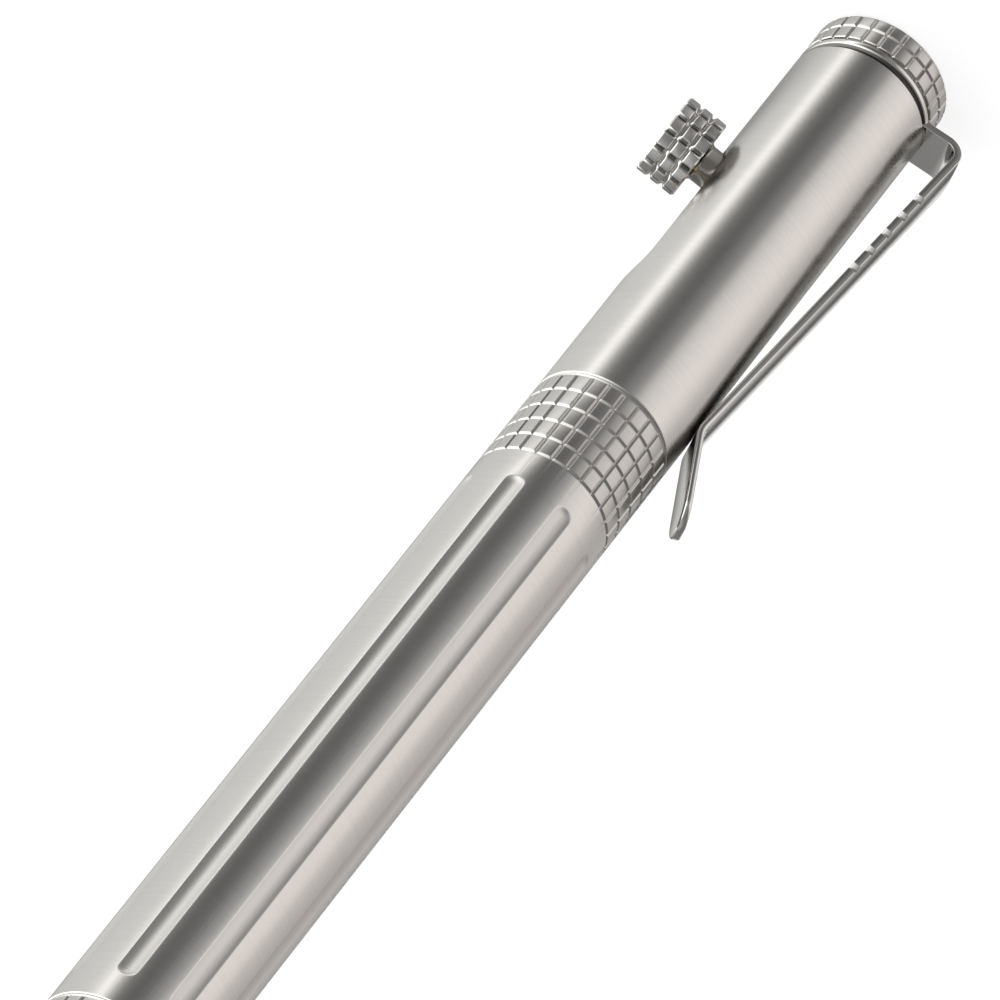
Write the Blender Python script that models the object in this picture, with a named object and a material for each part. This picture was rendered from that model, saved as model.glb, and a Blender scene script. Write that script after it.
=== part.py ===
"""Bolt action pen, all metal, standing on its flat cap with the writing tip up.

Run with: blender --background --python part.py
The pen's axis is +Z, its cap end face is z = 0, the bolt points to +X.
Sizes are in millimetres here and are turned into metres where meshes are made.
"""
import math

import bmesh
import bpy
from mathutils import Matrix, Vector

MM = 0.001

# Fits between pieces
SEAM = 0.05
THREAD_FIT = 0.05
SLIDE_FIT = 0.1
SEAL_FIT = 0.03
CUT_OVERRUN = 1.0
MERGE_DISTANCE = 0.01

# Barrel: one outer diameter from the cap to the nose
BARREL_RADIUS = 5.35
BARREL_BORE = 3.7
UPPER_LENGTH = 38.9
LOWER_LENGTH = 67.6
EDGE_CHAMFER = 0.3

# End cap
CAP_HEAD_HEIGHT = 2.96
CAP_NECK_HEIGHT = 0.25
CAP_NECK_DEPTH = 0.35
CAP_CHAMFER = 0.2
CAP_ROWS = 2
CAP_SPIGOT_RADIUS = 4.1
CAP_SPIGOT_LENGTH = 6.4

# Knurl: square pads between ring grooves and lengthwise grooves
KNURL_COLUMNS = 27
KNURL_DEPTH = 0.22
KNURL_GROOVE_DEGREES = 3.4
KNURL_RING_GROOVE = 0.3
KNURL_PHASE_DEGREES = -87.5
BAND_LENGTH = 8.8
BAND_ROWS = 5
COLLAR_LENGTH = 5.4
COLLAR_ROWS = 3
SPIGOT_ROOT = 1.5

# Flutes milled along the lower barrel with a ball cutter
FLUTE_COUNT = 8
FLUTE_WIDTH = 1.45
FLUTE_DEPTH = 0.21
FLUTE_PHASE_DEGREES = -62.0
FLUTE_MARGIN = 2.5

# Joint between the two barrels, and between lower barrel and nose
JOINT_SPIGOT_RADIUS = 4.6
JOINT_SPIGOT_LENGTH = 7.0
NOSE_SPIGOT_RADIUS = 4.15
NOSE_SPIGOT_LENGTH = 7.0
SOCKET_END_ROOM = 0.4
REFILL_BORE = 3.2
PLUNGER_END_ROOM = 1.05

# Nose cone
NOSE_LENGTH = 30.7
NOSE_ROOT_STEP = 0.05
NOSE_BULGE = 1.7
NOSE_TIP_RADIUS = 1.95
NOSE_TIP_ROUND = 0.35
NOSE_TIP_HOLE = 1.35
NOSE_SPRING_BORE = 2.15
NOSE_TIP_LAND = 6.4
TIP_RETRACTION = 4.4
NOSE_STEPS = 6

# Seal rings in grooves beside each screwed joint
SEAL_SECTION = 0.42
SEAL_GROOVE_WIDTH = 0.8
CAP_SEAL_OFFSET = 0.4

# Pocket clip, pressed from strip, its ring clamped under the cap
CLIP_THICKNESS = 0.64
CLIP_WIDTH = 4.0
CLIP_TIP_WIDTH = 3.9
CLIP_AZIMUTH_DEGREES = 187.0
CLIP_STANDOFF = 2.52
CLIP_BEND_RADIUS = 1.3
CLIP_CONTACT_FROM_RING = 35.2
CLIP_CONTACT_RADIUS = 2.5
CLIP_FLARE_DEGREES = 21.4
CLIP_FLARE_LENGTH = 7.6
CLIP_NOTCHES = 5
CLIP_NOTCH_SPACING = 2.25
CLIP_NOTCH_FROM_RING = 5.95
CLIP_NOTCH_WIDTH = 1.2
CLIP_NOTCH_DEPTH = 0.55
CLIP_TIP_BLUNT = 0.3
STATIONS_PER_NOTCH = 3

# Bolt handle, slot and plunger
BOLT_FROM_BARREL_END = 13.4
BOLT_TRAVEL = 10.4
BOLT_TURN_DEGREES = 30.0
STEM_RADIUS = 1.45
STUD_RADIUS = 1.1
KNOB_RADIUS = 3.15
KNOB_INNER_X = 6.3
KNOB_OUTER_X = 9.55
KNOB_ROWS = 3
KNOB_COLUMNS = 14
KNOB_DEPTH = 0.3
KNOB_GROOVE_DEGREES = 10.0
KNOB_PHASE_DEGREES = -125.0
KNOB_NECK = 0.3
SLOT_SIDE_FIT = 0.2
NOTCH_LIP = 0.03
PLUNGER_BEHIND_BOLT = 4.75
PLUNGER_SOCKET_DEPTH = 3.0
PLUNGER_CHAMFER = 0.4
STEM_SEAT_X = 2.5
STUD_END_X = -0.6

# Refill of the common metal kind
REFILL_LENGTH = 97.0
REFILL_RADIUS = 2.9
REFILL_WALL = 0.35
REFILL_CHAMFER = 0.4
REFILL_SHOULDER_FROM_TIP = 19.0
NOZZLE_ROOT_RADIUS = 1.45
NOZZLE_ROOT_LENGTH = 6.0
NOZZLE_RADIUS = 1.17
NOZZLE_TIP_FROM_END = 6.1
PLUG_HEAD = 1.0
PLUG_SPIGOT = 5.0
POINT_SPIGOT_RADIUS = 0.75
POINT_SPIGOT_LENGTH = 3.5
POINT_TIP_RADIUS = 0.48
BALL_RADIUS = 0.35
BALL_FIT = 0.02
INK_END_ROOM = 3.4

# Return spring round the refill's nozzle
SPRING_WIRE = 0.34
SPRING_RADIUS = 1.78
SPRING_TURNS = 8
SPRING_SEAT_ROOM = 0.1

# Facets
ROUND_COUNT = 60
TAPER_COUNT = 48
BORE_COUNT = 32
SMALL_COUNT = 20
SEAL_COUNT = 24
SEAL_SIDES = 5
CORNER_STEPS = 5
FLUTE_SIDES = 10
SPRING_POINTS_PER_TURN = 8
BALL_COUNT = 10
BALL_RINGS = 8
SMOOTH_DEGREES = 35.0

# Places along the axis, worked out from the sizes above
CLIP_Z = CAP_HEAD_HEIGHT + SEAM
UPPER_Z = CLIP_Z + CLIP_THICKNESS + SEAM
LOWER_Z = UPPER_Z + UPPER_LENGTH + SEAM
NOSE_Z = LOWER_Z + LOWER_LENGTH + SEAM
TIP_Z = NOSE_Z + NOSE_LENGTH
BOLT_Z = UPPER_Z + BOLT_FROM_BARREL_END
CLIP_CONTACT_Z = CLIP_Z + CLIP_CONTACT_FROM_RING
CLIP_NOTCH_START_Z = CLIP_Z + CLIP_NOTCH_FROM_RING
PLUNGER_RADIUS = BARREL_BORE - SLIDE_FIT
REFILL_TIP_Z = TIP_Z - TIP_RETRACTION
REFILL_REAR_Z = REFILL_TIP_Z - REFILL_LENGTH
PLUNGER_FRONT_Z = REFILL_REAR_Z + PLUNGER_SOCKET_DEPTH
SHOULDER_Z = REFILL_TIP_Z - REFILL_SHOULDER_FROM_TIP
SPRING_SEAT_Z = TIP_Z - NOSE_TIP_LAND
SLOT_HALF = STEM_RADIUS + SLOT_SIDE_FIT
SLOT_REACH = 2 * BARREL_RADIUS
NOSE_ROOT_RADIUS = BARREL_RADIUS - NOSE_ROOT_STEP

STEEL = (0.62, 0.61, 0.59)
PLUG_GREY = (0.12, 0.12, 0.13)
RUBBER = (0.03, 0.03, 0.03)
BRASS = (0.66, 0.52, 0.28)
INK_BLUE = (0.02, 0.03, 0.16)


def clear_scene():
    for item in list(bpy.data.objects):
        bpy.data.objects.remove(item, do_unlink=True)


def make_material(name, colour, roughness, metallic):
    material = bpy.data.materials.new(name)
    material.use_nodes = True
    shader = material.node_tree.nodes["Principled BSDF"]
    shader.inputs["Base Color"].default_value = (*colour, 1.0)
    shader.inputs["Roughness"].default_value = roughness
    shader.inputs["Metallic"].default_value = metallic
    return material


def add_object(name, data, parent=None):
    item = bpy.data.objects.new(name, data)
    bpy.context.scene.collection.objects.link(item)
    item.parent = parent
    return item


def add_empty(name, parent=None):
    return add_object(name, None, parent)


def finish_mesh(name, shape, material, parent=None):
    """Turn a bmesh in millimetres into a named object in metres."""
    bmesh.ops.recalc_face_normals(shape, faces=shape.faces)
    bmesh.ops.scale(shape, vec=(MM, MM, MM), verts=shape.verts)
    mesh = bpy.data.meshes.new(name)
    shape.to_mesh(mesh)
    shape.free()
    mesh.materials.append(material)
    mesh.shade_smooth()
    mesh.set_sharp_from_angle(angle=math.radians(SMOOTH_DEGREES))
    return add_object(name, mesh, parent)


def cut(target, cutter, operation="DIFFERENCE"):
    """Cut target with cutter, or join them, and keep the cutter out of the build."""
    modifier = target.modifiers.new(cutter.name, "BOOLEAN")
    modifier.operation = operation
    modifier.object = cutter
    cutter.hide_render = True
    cutter.display_type = "WIRE"


def even_angles(count):
    """Angles round a plain turned piece, none of them in a groove and none on an axis."""
    return [(math.tau * (step + 0.5) / count, 0.0) for step in range(count)]


def knurl_angles(columns, groove_degrees, phase_degrees):
    """Angles round a knurled piece: each lengthwise groove has two edges and a bottom."""
    half = math.radians(groove_degrees) / 2
    angles = []
    for column in range(columns):
        middle = math.radians(phase_degrees) + math.tau * column / columns
        angles += [(middle - half, 0.0), (middle, 1.0), (middle + half, 0.0)]
    return angles


def turned(profile, angles):
    """Turn a profile of (radius, z) or (radius, z, ring depth, column depth) about Z.

    A profile that starts off the axis is closed on itself, as for a tube.
    """
    shape = bmesh.new()
    rings = []
    for radius, z, *depths in profile:
        if radius == 0:
            rings.append([shape.verts.new((0, 0, z))])
            continue
        ring_depth, column_depth = depths or (0.0, 0.0)
        ring = []
        for angle, groove in angles:
            reach = radius - max(ring_depth, column_depth * groove)
            ring.append(shape.verts.new((reach * math.cos(angle), reach * math.sin(angle), z)))
        rings.append(ring)
    pairs = list(zip(rings, rings[1:]))
    if profile[0][0] != 0:
        pairs.append((rings[-1], rings[0]))
    for lower, upper in pairs:
        join_rings(shape, lower, upper)
    return shape


def join_rings(shape, lower, upper):
    count = max(len(lower), len(upper))
    for step in range(count):
        after = (step + 1) % count
        corners = [lower[step % len(lower)], lower[after % len(lower)]]
        corners += [upper[after % len(upper)], upper[step % len(upper)]]
        shape.faces.new(list(dict.fromkeys(corners)))


def knurl_rows(radius, start, end, rows, depth):
    """Profile levels of a knurled band whose rows are parted and edged by ring grooves."""
    half_groove = KNURL_RING_GROOVE / 2
    pitch = (end - start - KNURL_RING_GROOVE) / rows
    levels = [(radius, start)]
    for row in range(rows + 1):
        groove = start + half_groove + row * pitch
        levels.append((radius, groove, depth, depth))
        if row < rows:
            levels.append((radius, groove + half_groove, 0.0, depth))
            levels.append((radius, groove + pitch - half_groove, 0.0, depth))
    levels.append((radius, end))
    return levels


def barrel_angles():
    return knurl_angles(KNURL_COLUMNS, KNURL_GROOVE_DEGREES, KNURL_PHASE_DEGREES)


def seal_groove(spigot_radius, start):
    """Profile levels of a seal groove in a spigot, at the start of its run."""
    bottom = spigot_radius - SEAL_SECTION
    end = start + SEAL_GROOVE_WIDTH
    return [(bottom, start), (bottom, end), (spigot_radius, end)]


def make_seal(name, spigot_radius, start, material):
    """A round seal ring that fills its groove and meets the socket."""
    section = (SEAL_SECTION + THREAD_FIT) / 2 - SEAL_FIT
    middle = spigot_radius - SEAL_SECTION + SEAL_FIT + section
    middle_z = start + SEAL_GROOVE_WIDTH / 2
    profile = []
    for side in range(SEAL_SIDES):
        angle = math.tau * side / SEAL_SIDES
        profile.append((middle + section * math.cos(angle), middle_z + section * math.sin(angle)))
    return finish_mesh(name, turned(profile, even_angles(SEAL_COUNT)), material)


def make_end_cap(material):
    knurl_end = CAP_HEAD_HEIGHT - CAP_NECK_HEIGHT
    pitch = knurl_end / CAP_ROWS
    half_groove = KNURL_RING_GROOVE / 2
    profile = [(0, 0), (BARREL_RADIUS - CAP_CHAMFER, 0)]
    profile.append((BARREL_RADIUS, CAP_CHAMFER, 0.0, KNURL_DEPTH))
    for row in range(1, CAP_ROWS):
        groove = row * pitch
        profile.append((BARREL_RADIUS, groove - half_groove, 0.0, KNURL_DEPTH))
        profile.append((BARREL_RADIUS, groove, KNURL_DEPTH, KNURL_DEPTH))
        profile.append((BARREL_RADIUS, groove + half_groove, 0.0, KNURL_DEPTH))
    neck = BARREL_RADIUS - CAP_NECK_DEPTH
    profile.append((BARREL_RADIUS, knurl_end, 0.0, KNURL_DEPTH))
    profile += [(neck, knurl_end), (neck, CAP_HEAD_HEIGHT), (0, CAP_HEAD_HEIGHT)]
    cap = finish_mesh("end_cap", turned(profile, barrel_angles()), material)
    groove_start = UPPER_Z + CAP_SEAL_OFFSET
    spigot_end = CAP_HEAD_HEIGHT + CAP_SPIGOT_LENGTH
    root = CAP_HEAD_HEIGHT - SPIGOT_ROOT
    spigot = [(0, root), (CAP_SPIGOT_RADIUS, root), (CAP_SPIGOT_RADIUS, groove_start)]
    spigot += seal_groove(CAP_SPIGOT_RADIUS, groove_start)
    spigot += [(CAP_SPIGOT_RADIUS, spigot_end - EDGE_CHAMFER)]
    spigot += [(CAP_SPIGOT_RADIUS - EDGE_CHAMFER, spigot_end), (0, spigot_end)]
    cut(cap, finish_mesh("cap_spigot_tool", turned(spigot, even_angles(BORE_COUNT)), material), "UNION")
    return cap


def slot_outline():
    """Outline of the slot's straight run in (y, z), with its wide lower corner on the near side."""
    corner = 2 * SLOT_HALF
    corner_z = BOLT_Z + BOLT_TRAVEL + SLOT_SIDE_FIT
    points = []
    for step in range(2 * CORNER_STEPS + 1):
        angle = math.pi * step / (2 * CORNER_STEPS)
        points.append((-SLOT_HALF * math.cos(angle), BOLT_Z - SLOT_HALF * math.sin(angle)))
    for step in range(2 * CORNER_STEPS + 1):
        angle = math.pi / 2 * step / (2 * CORNER_STEPS)
        points.append((SLOT_HALF - corner * math.sin(angle), corner_z + corner * math.cos(angle)))
    return points


def make_slot_run():
    """Cutter for the straight run: the outline pushed outward along +X."""
    shape = bmesh.new()
    outline = slot_outline()
    inner = [shape.verts.new((0, y, z)) for y, z in outline]
    face = shape.faces.new(inner)
    pushed = bmesh.ops.extrude_face_region(shape, geom=[face])
    moved = [item for item in pushed["geom"] if isinstance(item, bmesh.types.BMVert)]
    bmesh.ops.translate(shape, vec=(SLOT_REACH, 0, 0), verts=moved)
    return shape


def make_slot_notch(low, high):
    """Cutter for a side notch: a sector from the run to the bolt's turned place."""
    shape = bmesh.new()
    turn = math.radians(BOLT_TURN_DEGREES)
    corners = [(0, 0)]
    for step in range(CORNER_STEPS + 1):
        angle = turn * step / CORNER_STEPS
        corners.append((SLOT_REACH * math.cos(angle), SLOT_REACH * math.sin(angle)))
    face = shape.faces.new([shape.verts.new((x, y, low)) for x, y in corners])
    pushed = bmesh.ops.extrude_face_region(shape, geom=[face])
    moved = [item for item in pushed["geom"] if isinstance(item, bmesh.types.BMVert)]
    bmesh.ops.translate(shape, vec=(0, 0, high - low), verts=moved)
    return shape


def make_slot_end(low, high):
    """Cutter for the round end of a notch, at the bolt's turned place."""
    shape = bmesh.new()
    points = []
    for middle, start in ((low + SLOT_HALF, math.pi), (high - SLOT_HALF, 0.0)):
        for step in range(2 * CORNER_STEPS + 1):
            angle = start + math.pi * step / (2 * CORNER_STEPS)
            points.append((SLOT_HALF * math.cos(angle), middle + SLOT_HALF * math.sin(angle)))
    bottom = [shape.verts.new((0, y, z)) for y, z in points]
    bmesh.ops.remove_doubles(shape, verts=bottom, dist=MERGE_DISTANCE)
    face = shape.faces.new(shape.verts)
    pushed = bmesh.ops.extrude_face_region(shape, geom=[face])
    moved = [item for item in pushed["geom"] if isinstance(item, bmesh.types.BMVert)]
    bmesh.ops.translate(shape, vec=(SLOT_REACH, 0, 0), verts=moved)
    turn = Matrix.Rotation(math.radians(BOLT_TURN_DEGREES), 4, "Z")
    bmesh.ops.transform(shape, matrix=turn, verts=shape.verts)
    return shape


def make_upper_barrel(material):
    """Upper tube with the cap's socket, the bolt slot and the spigot for the lower barrel."""
    end = UPPER_Z + UPPER_LENGTH
    cap_socket = CAP_SPIGOT_RADIUS + THREAD_FIT
    cap_socket_end = CAP_HEAD_HEIGHT + CAP_SPIGOT_LENGTH + SOCKET_END_ROOM
    spigot_end = end + JOINT_SPIGOT_LENGTH
    profile = [(BARREL_RADIUS - EDGE_CHAMFER, UPPER_Z), (BARREL_RADIUS, UPPER_Z + EDGE_CHAMFER)]
    profile += [(BARREL_RADIUS, end)]
    profile += seal_groove(JOINT_SPIGOT_RADIUS, end)
    profile += [(JOINT_SPIGOT_RADIUS, spigot_end - EDGE_CHAMFER)]
    profile += [(JOINT_SPIGOT_RADIUS - EDGE_CHAMFER, spigot_end), (BARREL_BORE, spigot_end)]
    profile += [(BARREL_BORE, cap_socket_end), (cap_socket, cap_socket_end), (cap_socket, UPPER_Z)]
    barrel = finish_mesh("upper_barrel", turned(profile, even_angles(ROUND_COUNT)), material)
    lock_z = BOLT_Z + BOLT_TRAVEL
    rest_notch = ("rest", BOLT_Z - SLOT_HALF, BOLT_Z + SLOT_HALF)
    lock_notch = ("lock", lock_z - SLOT_HALF, lock_z + SLOT_SIDE_FIT + 2 * SLOT_HALF)
    cut(barrel, finish_mesh("slot_run_cutter", make_slot_run(), material))
    for place, low, high in (rest_notch, lock_notch):
        sector = make_slot_notch(low + NOTCH_LIP, high - NOTCH_LIP)
        cut(barrel, finish_mesh(f"slot_{place}_cutter", sector, material))
        cut(barrel, finish_mesh(f"slot_{place}_end_cutter", make_slot_end(low, high), material))
    return barrel


def make_flutes():
    """Eight ball cutter paths: capsules laid along the lower barrel."""
    half_width = FLUTE_WIDTH / 2
    ball = (half_width ** 2 + FLUTE_DEPTH ** 2) / (2 * FLUTE_DEPTH)
    reach = BARREL_RADIUS - FLUTE_DEPTH + ball
    start = LOWER_Z + BAND_LENGTH + FLUTE_MARGIN + half_width
    end = LOWER_Z + LOWER_LENGTH - FLUTE_MARGIN - half_width
    profile = [(0, start - ball)]
    for step in range(1, CORNER_STEPS):
        angle = math.pi / 2 * step / (CORNER_STEPS - 1)
        profile.append((ball * math.sin(angle), start - ball * math.cos(angle)))
    profile += [(radius, start + end - z) for radius, z in reversed(profile)]
    flutes = bmesh.new()
    for flute in range(FLUTE_COUNT):
        capsule = turned(profile, even_angles(FLUTE_SIDES))
        turn = math.radians(FLUTE_PHASE_DEGREES) + math.tau * flute / FLUTE_COUNT
        place = Matrix.Rotation(turn, 4, "Z") @ Matrix.Translation((reach, 0, 0))
        bmesh.ops.transform(capsule, matrix=place, verts=capsule.verts)
        copy = bpy.data.meshes.new("flute")
        capsule.to_mesh(copy)
        capsule.free()
        flutes.from_mesh(copy)
        bpy.data.meshes.remove(copy)
    return flutes


def make_lower_barrel(material):
    """Lower tube: knurled band at its joint, flutes, and sockets at both ends."""
    end = LOWER_Z + LOWER_LENGTH
    profile = [(0, LOWER_Z)]
    profile += knurl_rows(BARREL_RADIUS, LOWER_Z, LOWER_Z + BAND_LENGTH, BAND_ROWS, KNURL_DEPTH)
    profile += [(BARREL_RADIUS, end), (0, end)]
    barrel = finish_mesh("lower_barrel", turned(profile, barrel_angles()), material)
    socket = JOINT_SPIGOT_RADIUS + THREAD_FIT
    socket_end = LOWER_Z + JOINT_SPIGOT_LENGTH + SOCKET_END_ROOM
    plunger_reach = max(socket_end, PLUNGER_FRONT_Z + BOLT_TRAVEL)
    room_end = plunger_reach + PLUNGER_END_ROOM
    nose_socket = NOSE_SPIGOT_RADIUS + THREAD_FIT
    nose_socket_start = end - NOSE_SPIGOT_LENGTH - SOCKET_END_ROOM
    bore_start = LOWER_Z - CUT_OVERRUN
    bore_end = end + CUT_OVERRUN
    bore = [(0, bore_start), (socket, bore_start), (socket, socket_end), (BARREL_BORE, socket_end)]
    bore += [(BARREL_BORE, room_end), (REFILL_BORE, room_end), (REFILL_BORE, nose_socket_start)]
    bore += [(nose_socket, nose_socket_start), (nose_socket, bore_end), (0, bore_end)]
    cut(barrel, finish_mesh("lower_bore_cutter", turned(bore, even_angles(BORE_COUNT)), material))
    cut(barrel, finish_mesh("flute_cutter", make_flutes(), material))
    return barrel


def nose_curve(share):
    """Radius of the nose at a share of the way from its collar to its tip."""
    return NOSE_TIP_RADIUS + (NOSE_ROOT_RADIUS - NOSE_TIP_RADIUS) * (1 - share ** NOSE_BULGE)


def make_nose_taper():
    """Bulged taper from inside the collar to the rounded tip."""
    collar_end = NOSE_Z + COLLAR_LENGTH
    taper_end = TIP_Z - NOSE_TIP_ROUND
    root = collar_end - SPIGOT_ROOT
    profile = [(0, root), (NOSE_SPIGOT_RADIUS, root), (NOSE_SPIGOT_RADIUS, collar_end)]
    for step in range(NOSE_STEPS + 1):
        share = step / NOSE_STEPS
        profile.append((nose_curve(share), collar_end + share * (taper_end - collar_end)))
    profile += [(NOSE_TIP_RADIUS - NOSE_TIP_ROUND, TIP_Z), (0, TIP_Z)]
    return turned(profile, even_angles(TAPER_COUNT))


def make_nose_spigot():
    """Spigot that screws into the lower barrel, with its seal groove at the collar."""
    start = NOSE_Z - NOSE_SPIGOT_LENGTH
    groove_start = NOSE_Z - SEAL_GROOVE_WIDTH
    groove = NOSE_SPIGOT_RADIUS - SEAL_SECTION
    profile = [(0, start), (NOSE_SPIGOT_RADIUS - EDGE_CHAMFER, start)]
    profile += [(NOSE_SPIGOT_RADIUS, start + EDGE_CHAMFER), (NOSE_SPIGOT_RADIUS, groove_start)]
    profile += [(groove, groove_start), (groove, NOSE_Z + SPIGOT_ROOT), (0, NOSE_Z + SPIGOT_ROOT)]
    return turned(profile, even_angles(BORE_COUNT))


def make_nose_cone(material):
    """Nose with a knurled collar, a bulged taper, and a bore stepped for refill and spring."""
    collar_end = NOSE_Z + COLLAR_LENGTH
    collar = [(0, NOSE_Z)]
    collar += knurl_rows(BARREL_RADIUS, NOSE_Z, collar_end, COLLAR_ROWS, KNURL_DEPTH)
    collar += [(0, collar_end)]
    nose = finish_mesh("nose_cone", turned(collar, barrel_angles()), material)
    cut(nose, finish_mesh("nose_taper_tool", make_nose_taper(), material), "UNION")
    cut(nose, finish_mesh("nose_spigot_tool", make_nose_spigot(), material), "UNION")
    start = NOSE_Z - NOSE_SPIGOT_LENGTH - CUT_OVERRUN
    end = TIP_Z + CUT_OVERRUN
    step_z = SHOULDER_Z + BOLT_TRAVEL + SLIDE_FIT
    bore = [(0, start), (REFILL_BORE, start), (REFILL_BORE, step_z)]
    bore += [(NOSE_SPRING_BORE, step_z + REFILL_BORE - NOSE_SPRING_BORE), (NOSE_SPRING_BORE, SPRING_SEAT_Z)]
    bore += [(NOSE_TIP_HOLE, SPRING_SEAT_Z), (NOSE_TIP_HOLE, end), (0, end)]
    cut(nose, finish_mesh("nose_bore_cutter", turned(bore, even_angles(BORE_COUNT)), material))
    return nose


def clip_path():
    """Middle line of the clip strip in (reach, z): tongue, bend, leg, contact bend, flared tip."""
    half = CLIP_THICKNESS / 2
    tongue_z = CLIP_Z + half
    leg_reach = BARREL_RADIUS + CLIP_STANDOFF + half
    contact_reach = BARREL_RADIUS + SEAM + half
    bend = CLIP_BEND_RADIUS
    bend_z = tongue_z + bend
    lean = math.atan2(leg_reach - contact_reach, CLIP_CONTACT_Z - bend_z)
    path = [(BARREL_RADIUS - 2 * half, tongue_z)]
    for step in range(CORNER_STEPS + 1):
        angle = math.pi / 2 * step / CORNER_STEPS
        path.append((leg_reach - bend + bend * math.sin(angle), bend_z - bend * math.cos(angle)))
    for z in clip_leg_stations():
        path.append((leg_reach - (z - bend_z) * math.tan(lean), z))
    flare = math.radians(CLIP_FLARE_DEGREES)
    for step in range(CORNER_STEPS + 1):
        angle = -lean + (lean + flare) * step / CORNER_STEPS
        path.append((contact_reach + CLIP_CONTACT_RADIUS * (1 - math.cos(angle)),
                     CLIP_CONTACT_Z + CLIP_CONTACT_RADIUS * math.sin(angle)))
    reach, z = path[-1]
    for share in clip_tip_shares():
        run = CLIP_FLARE_LENGTH * share
        path.append((reach + run * math.sin(flare), z + run * math.cos(flare)))
    return path


def clip_leg_stations():
    """Heights along the leg where its edge notches start, bottom out and end."""
    half = CLIP_NOTCH_WIDTH / 2
    stations = []
    for notch in range(CLIP_NOTCHES):
        middle = CLIP_NOTCH_START_Z + notch * CLIP_NOTCH_SPACING
        stations += [middle - half, middle, middle + half]
    return stations


def clip_tip_shares():
    """Shares of the flared tip's length, closer together round its end."""
    round_share = CLIP_TIP_WIDTH / 2 / CLIP_FLARE_LENGTH
    shares = [1 - round_share]
    for step in range(1, CORNER_STEPS + 1):
        shares.append(1 - round_share * (1 - math.sin(math.pi / 2 * step / CORNER_STEPS)))
    return shares


def clip_half_widths(path):
    """Half width of the strip at each point of its path: notched, narrowing, round at the tip."""
    widths = []
    first_notch = CORNER_STEPS + 2
    last_notch = first_notch + STATIONS_PER_NOTCH * CLIP_NOTCHES
    first_tip = len(path) - CORNER_STEPS - 1
    start_z = path[last_notch - 1][1]
    end_z = path[first_tip][1]
    for index, (_, z) in enumerate(path):
        share = min(1.0, max(0.0, (z - start_z) / (end_z - start_z)))
        half = (CLIP_WIDTH + share * (CLIP_TIP_WIDTH - CLIP_WIDTH)) / 2
        if first_notch <= index < last_notch and (index - first_notch) % STATIONS_PER_NOTCH == 1:
            half -= CLIP_NOTCH_DEPTH
        if index > first_tip:
            half *= math.cos(math.pi / 2 * (index - first_tip) / (CORNER_STEPS + CLIP_TIP_BLUNT))
        widths.append(half)
    return widths


def make_clip_strip():
    """The strip as a loft of rectangles square to its path."""
    shape = bmesh.new()
    path = clip_path()
    rings = []
    for index, half in enumerate(clip_half_widths(path)):
        before = Vector(path[max(index - 1, 0)])
        after = Vector(path[min(index + 1, len(path) - 1)])
        along = (after - before).normalized()
        side = Vector((along.y, -along.x)) * CLIP_THICKNESS / 2
        outer = Vector(path[index]) + side
        inner = Vector(path[index]) - side
        corners = ((outer, -half), (outer, half), (inner, half), (inner, -half))
        rings.append([shape.verts.new((place.x, y, place.y)) for place, y in corners])
    for lower, upper in zip(rings, rings[1:]):
        join_rings(shape, lower, upper)
    shape.faces.new(rings[0])
    shape.faces.new(rings[-1])
    return shape


def make_pocket_clip(material):
    ring_top = CLIP_Z + CLIP_THICKNESS
    hole = CAP_SPIGOT_RADIUS + THREAD_FIT
    ring = [(hole, CLIP_Z), (BARREL_RADIUS, CLIP_Z), (BARREL_RADIUS, ring_top), (hole, ring_top)]
    turn = Matrix.Rotation(math.radians(CLIP_AZIMUTH_DEGREES), 4, "Z")
    strip = make_clip_strip()
    bmesh.ops.transform(strip, matrix=turn, verts=strip.verts)
    clip = finish_mesh("pocket_clip", turned(ring, even_angles(TAPER_COUNT)), material)
    cut(clip, finish_mesh("clip_strip_tool", strip, material), "UNION")
    return clip


def make_plunger(material, carrier):
    """Plunger with a socket for the refill's rear and a stepped cross hole for the bolt."""
    front = PLUNGER_FRONT_Z
    rear = BOLT_Z - PLUNGER_BEHIND_BOLT
    socket = REFILL_RADIUS + SLIDE_FIT
    profile = [(0, rear), (PLUNGER_RADIUS - PLUNGER_CHAMFER, rear)]
    profile += [(PLUNGER_RADIUS, rear + PLUNGER_CHAMFER), (PLUNGER_RADIUS, front), (socket, front)]
    profile += [(socket, REFILL_REAR_Z - SEAM), (0, REFILL_REAR_Z - SEAM)]
    plunger = finish_mesh("plunger", turned(profile, even_angles(BORE_COUNT)), material, carrier)
    stud_hole = STUD_RADIUS + THREAD_FIT
    stem_hole = STEM_RADIUS + THREAD_FIT
    hole_end = PLUNGER_RADIUS + CUT_OVERRUN
    hole = [(0, STUD_END_X - SEAM), (stud_hole, STUD_END_X - SEAM), (stud_hole, STEM_SEAT_X - SEAM)]
    hole += [(stem_hole, STEM_SEAT_X - SEAM), (stem_hole, hole_end), (0, hole_end)]
    cross_hole = lay_along_x(turned(hole, even_angles(SMALL_COUNT)))
    cut(plunger, finish_mesh("stud_hole_cutter", cross_hole, material))
    return plunger


def lay_along_x(shape):
    """Lay a piece that was turned about Z along +X, at the bolt's height."""
    place = Matrix.Translation((0, 0, BOLT_Z)) @ Matrix.Rotation(math.pi / 2, 4, "Y")
    bmesh.ops.transform(shape, matrix=place, verts=shape.verts)
    return shape


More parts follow.
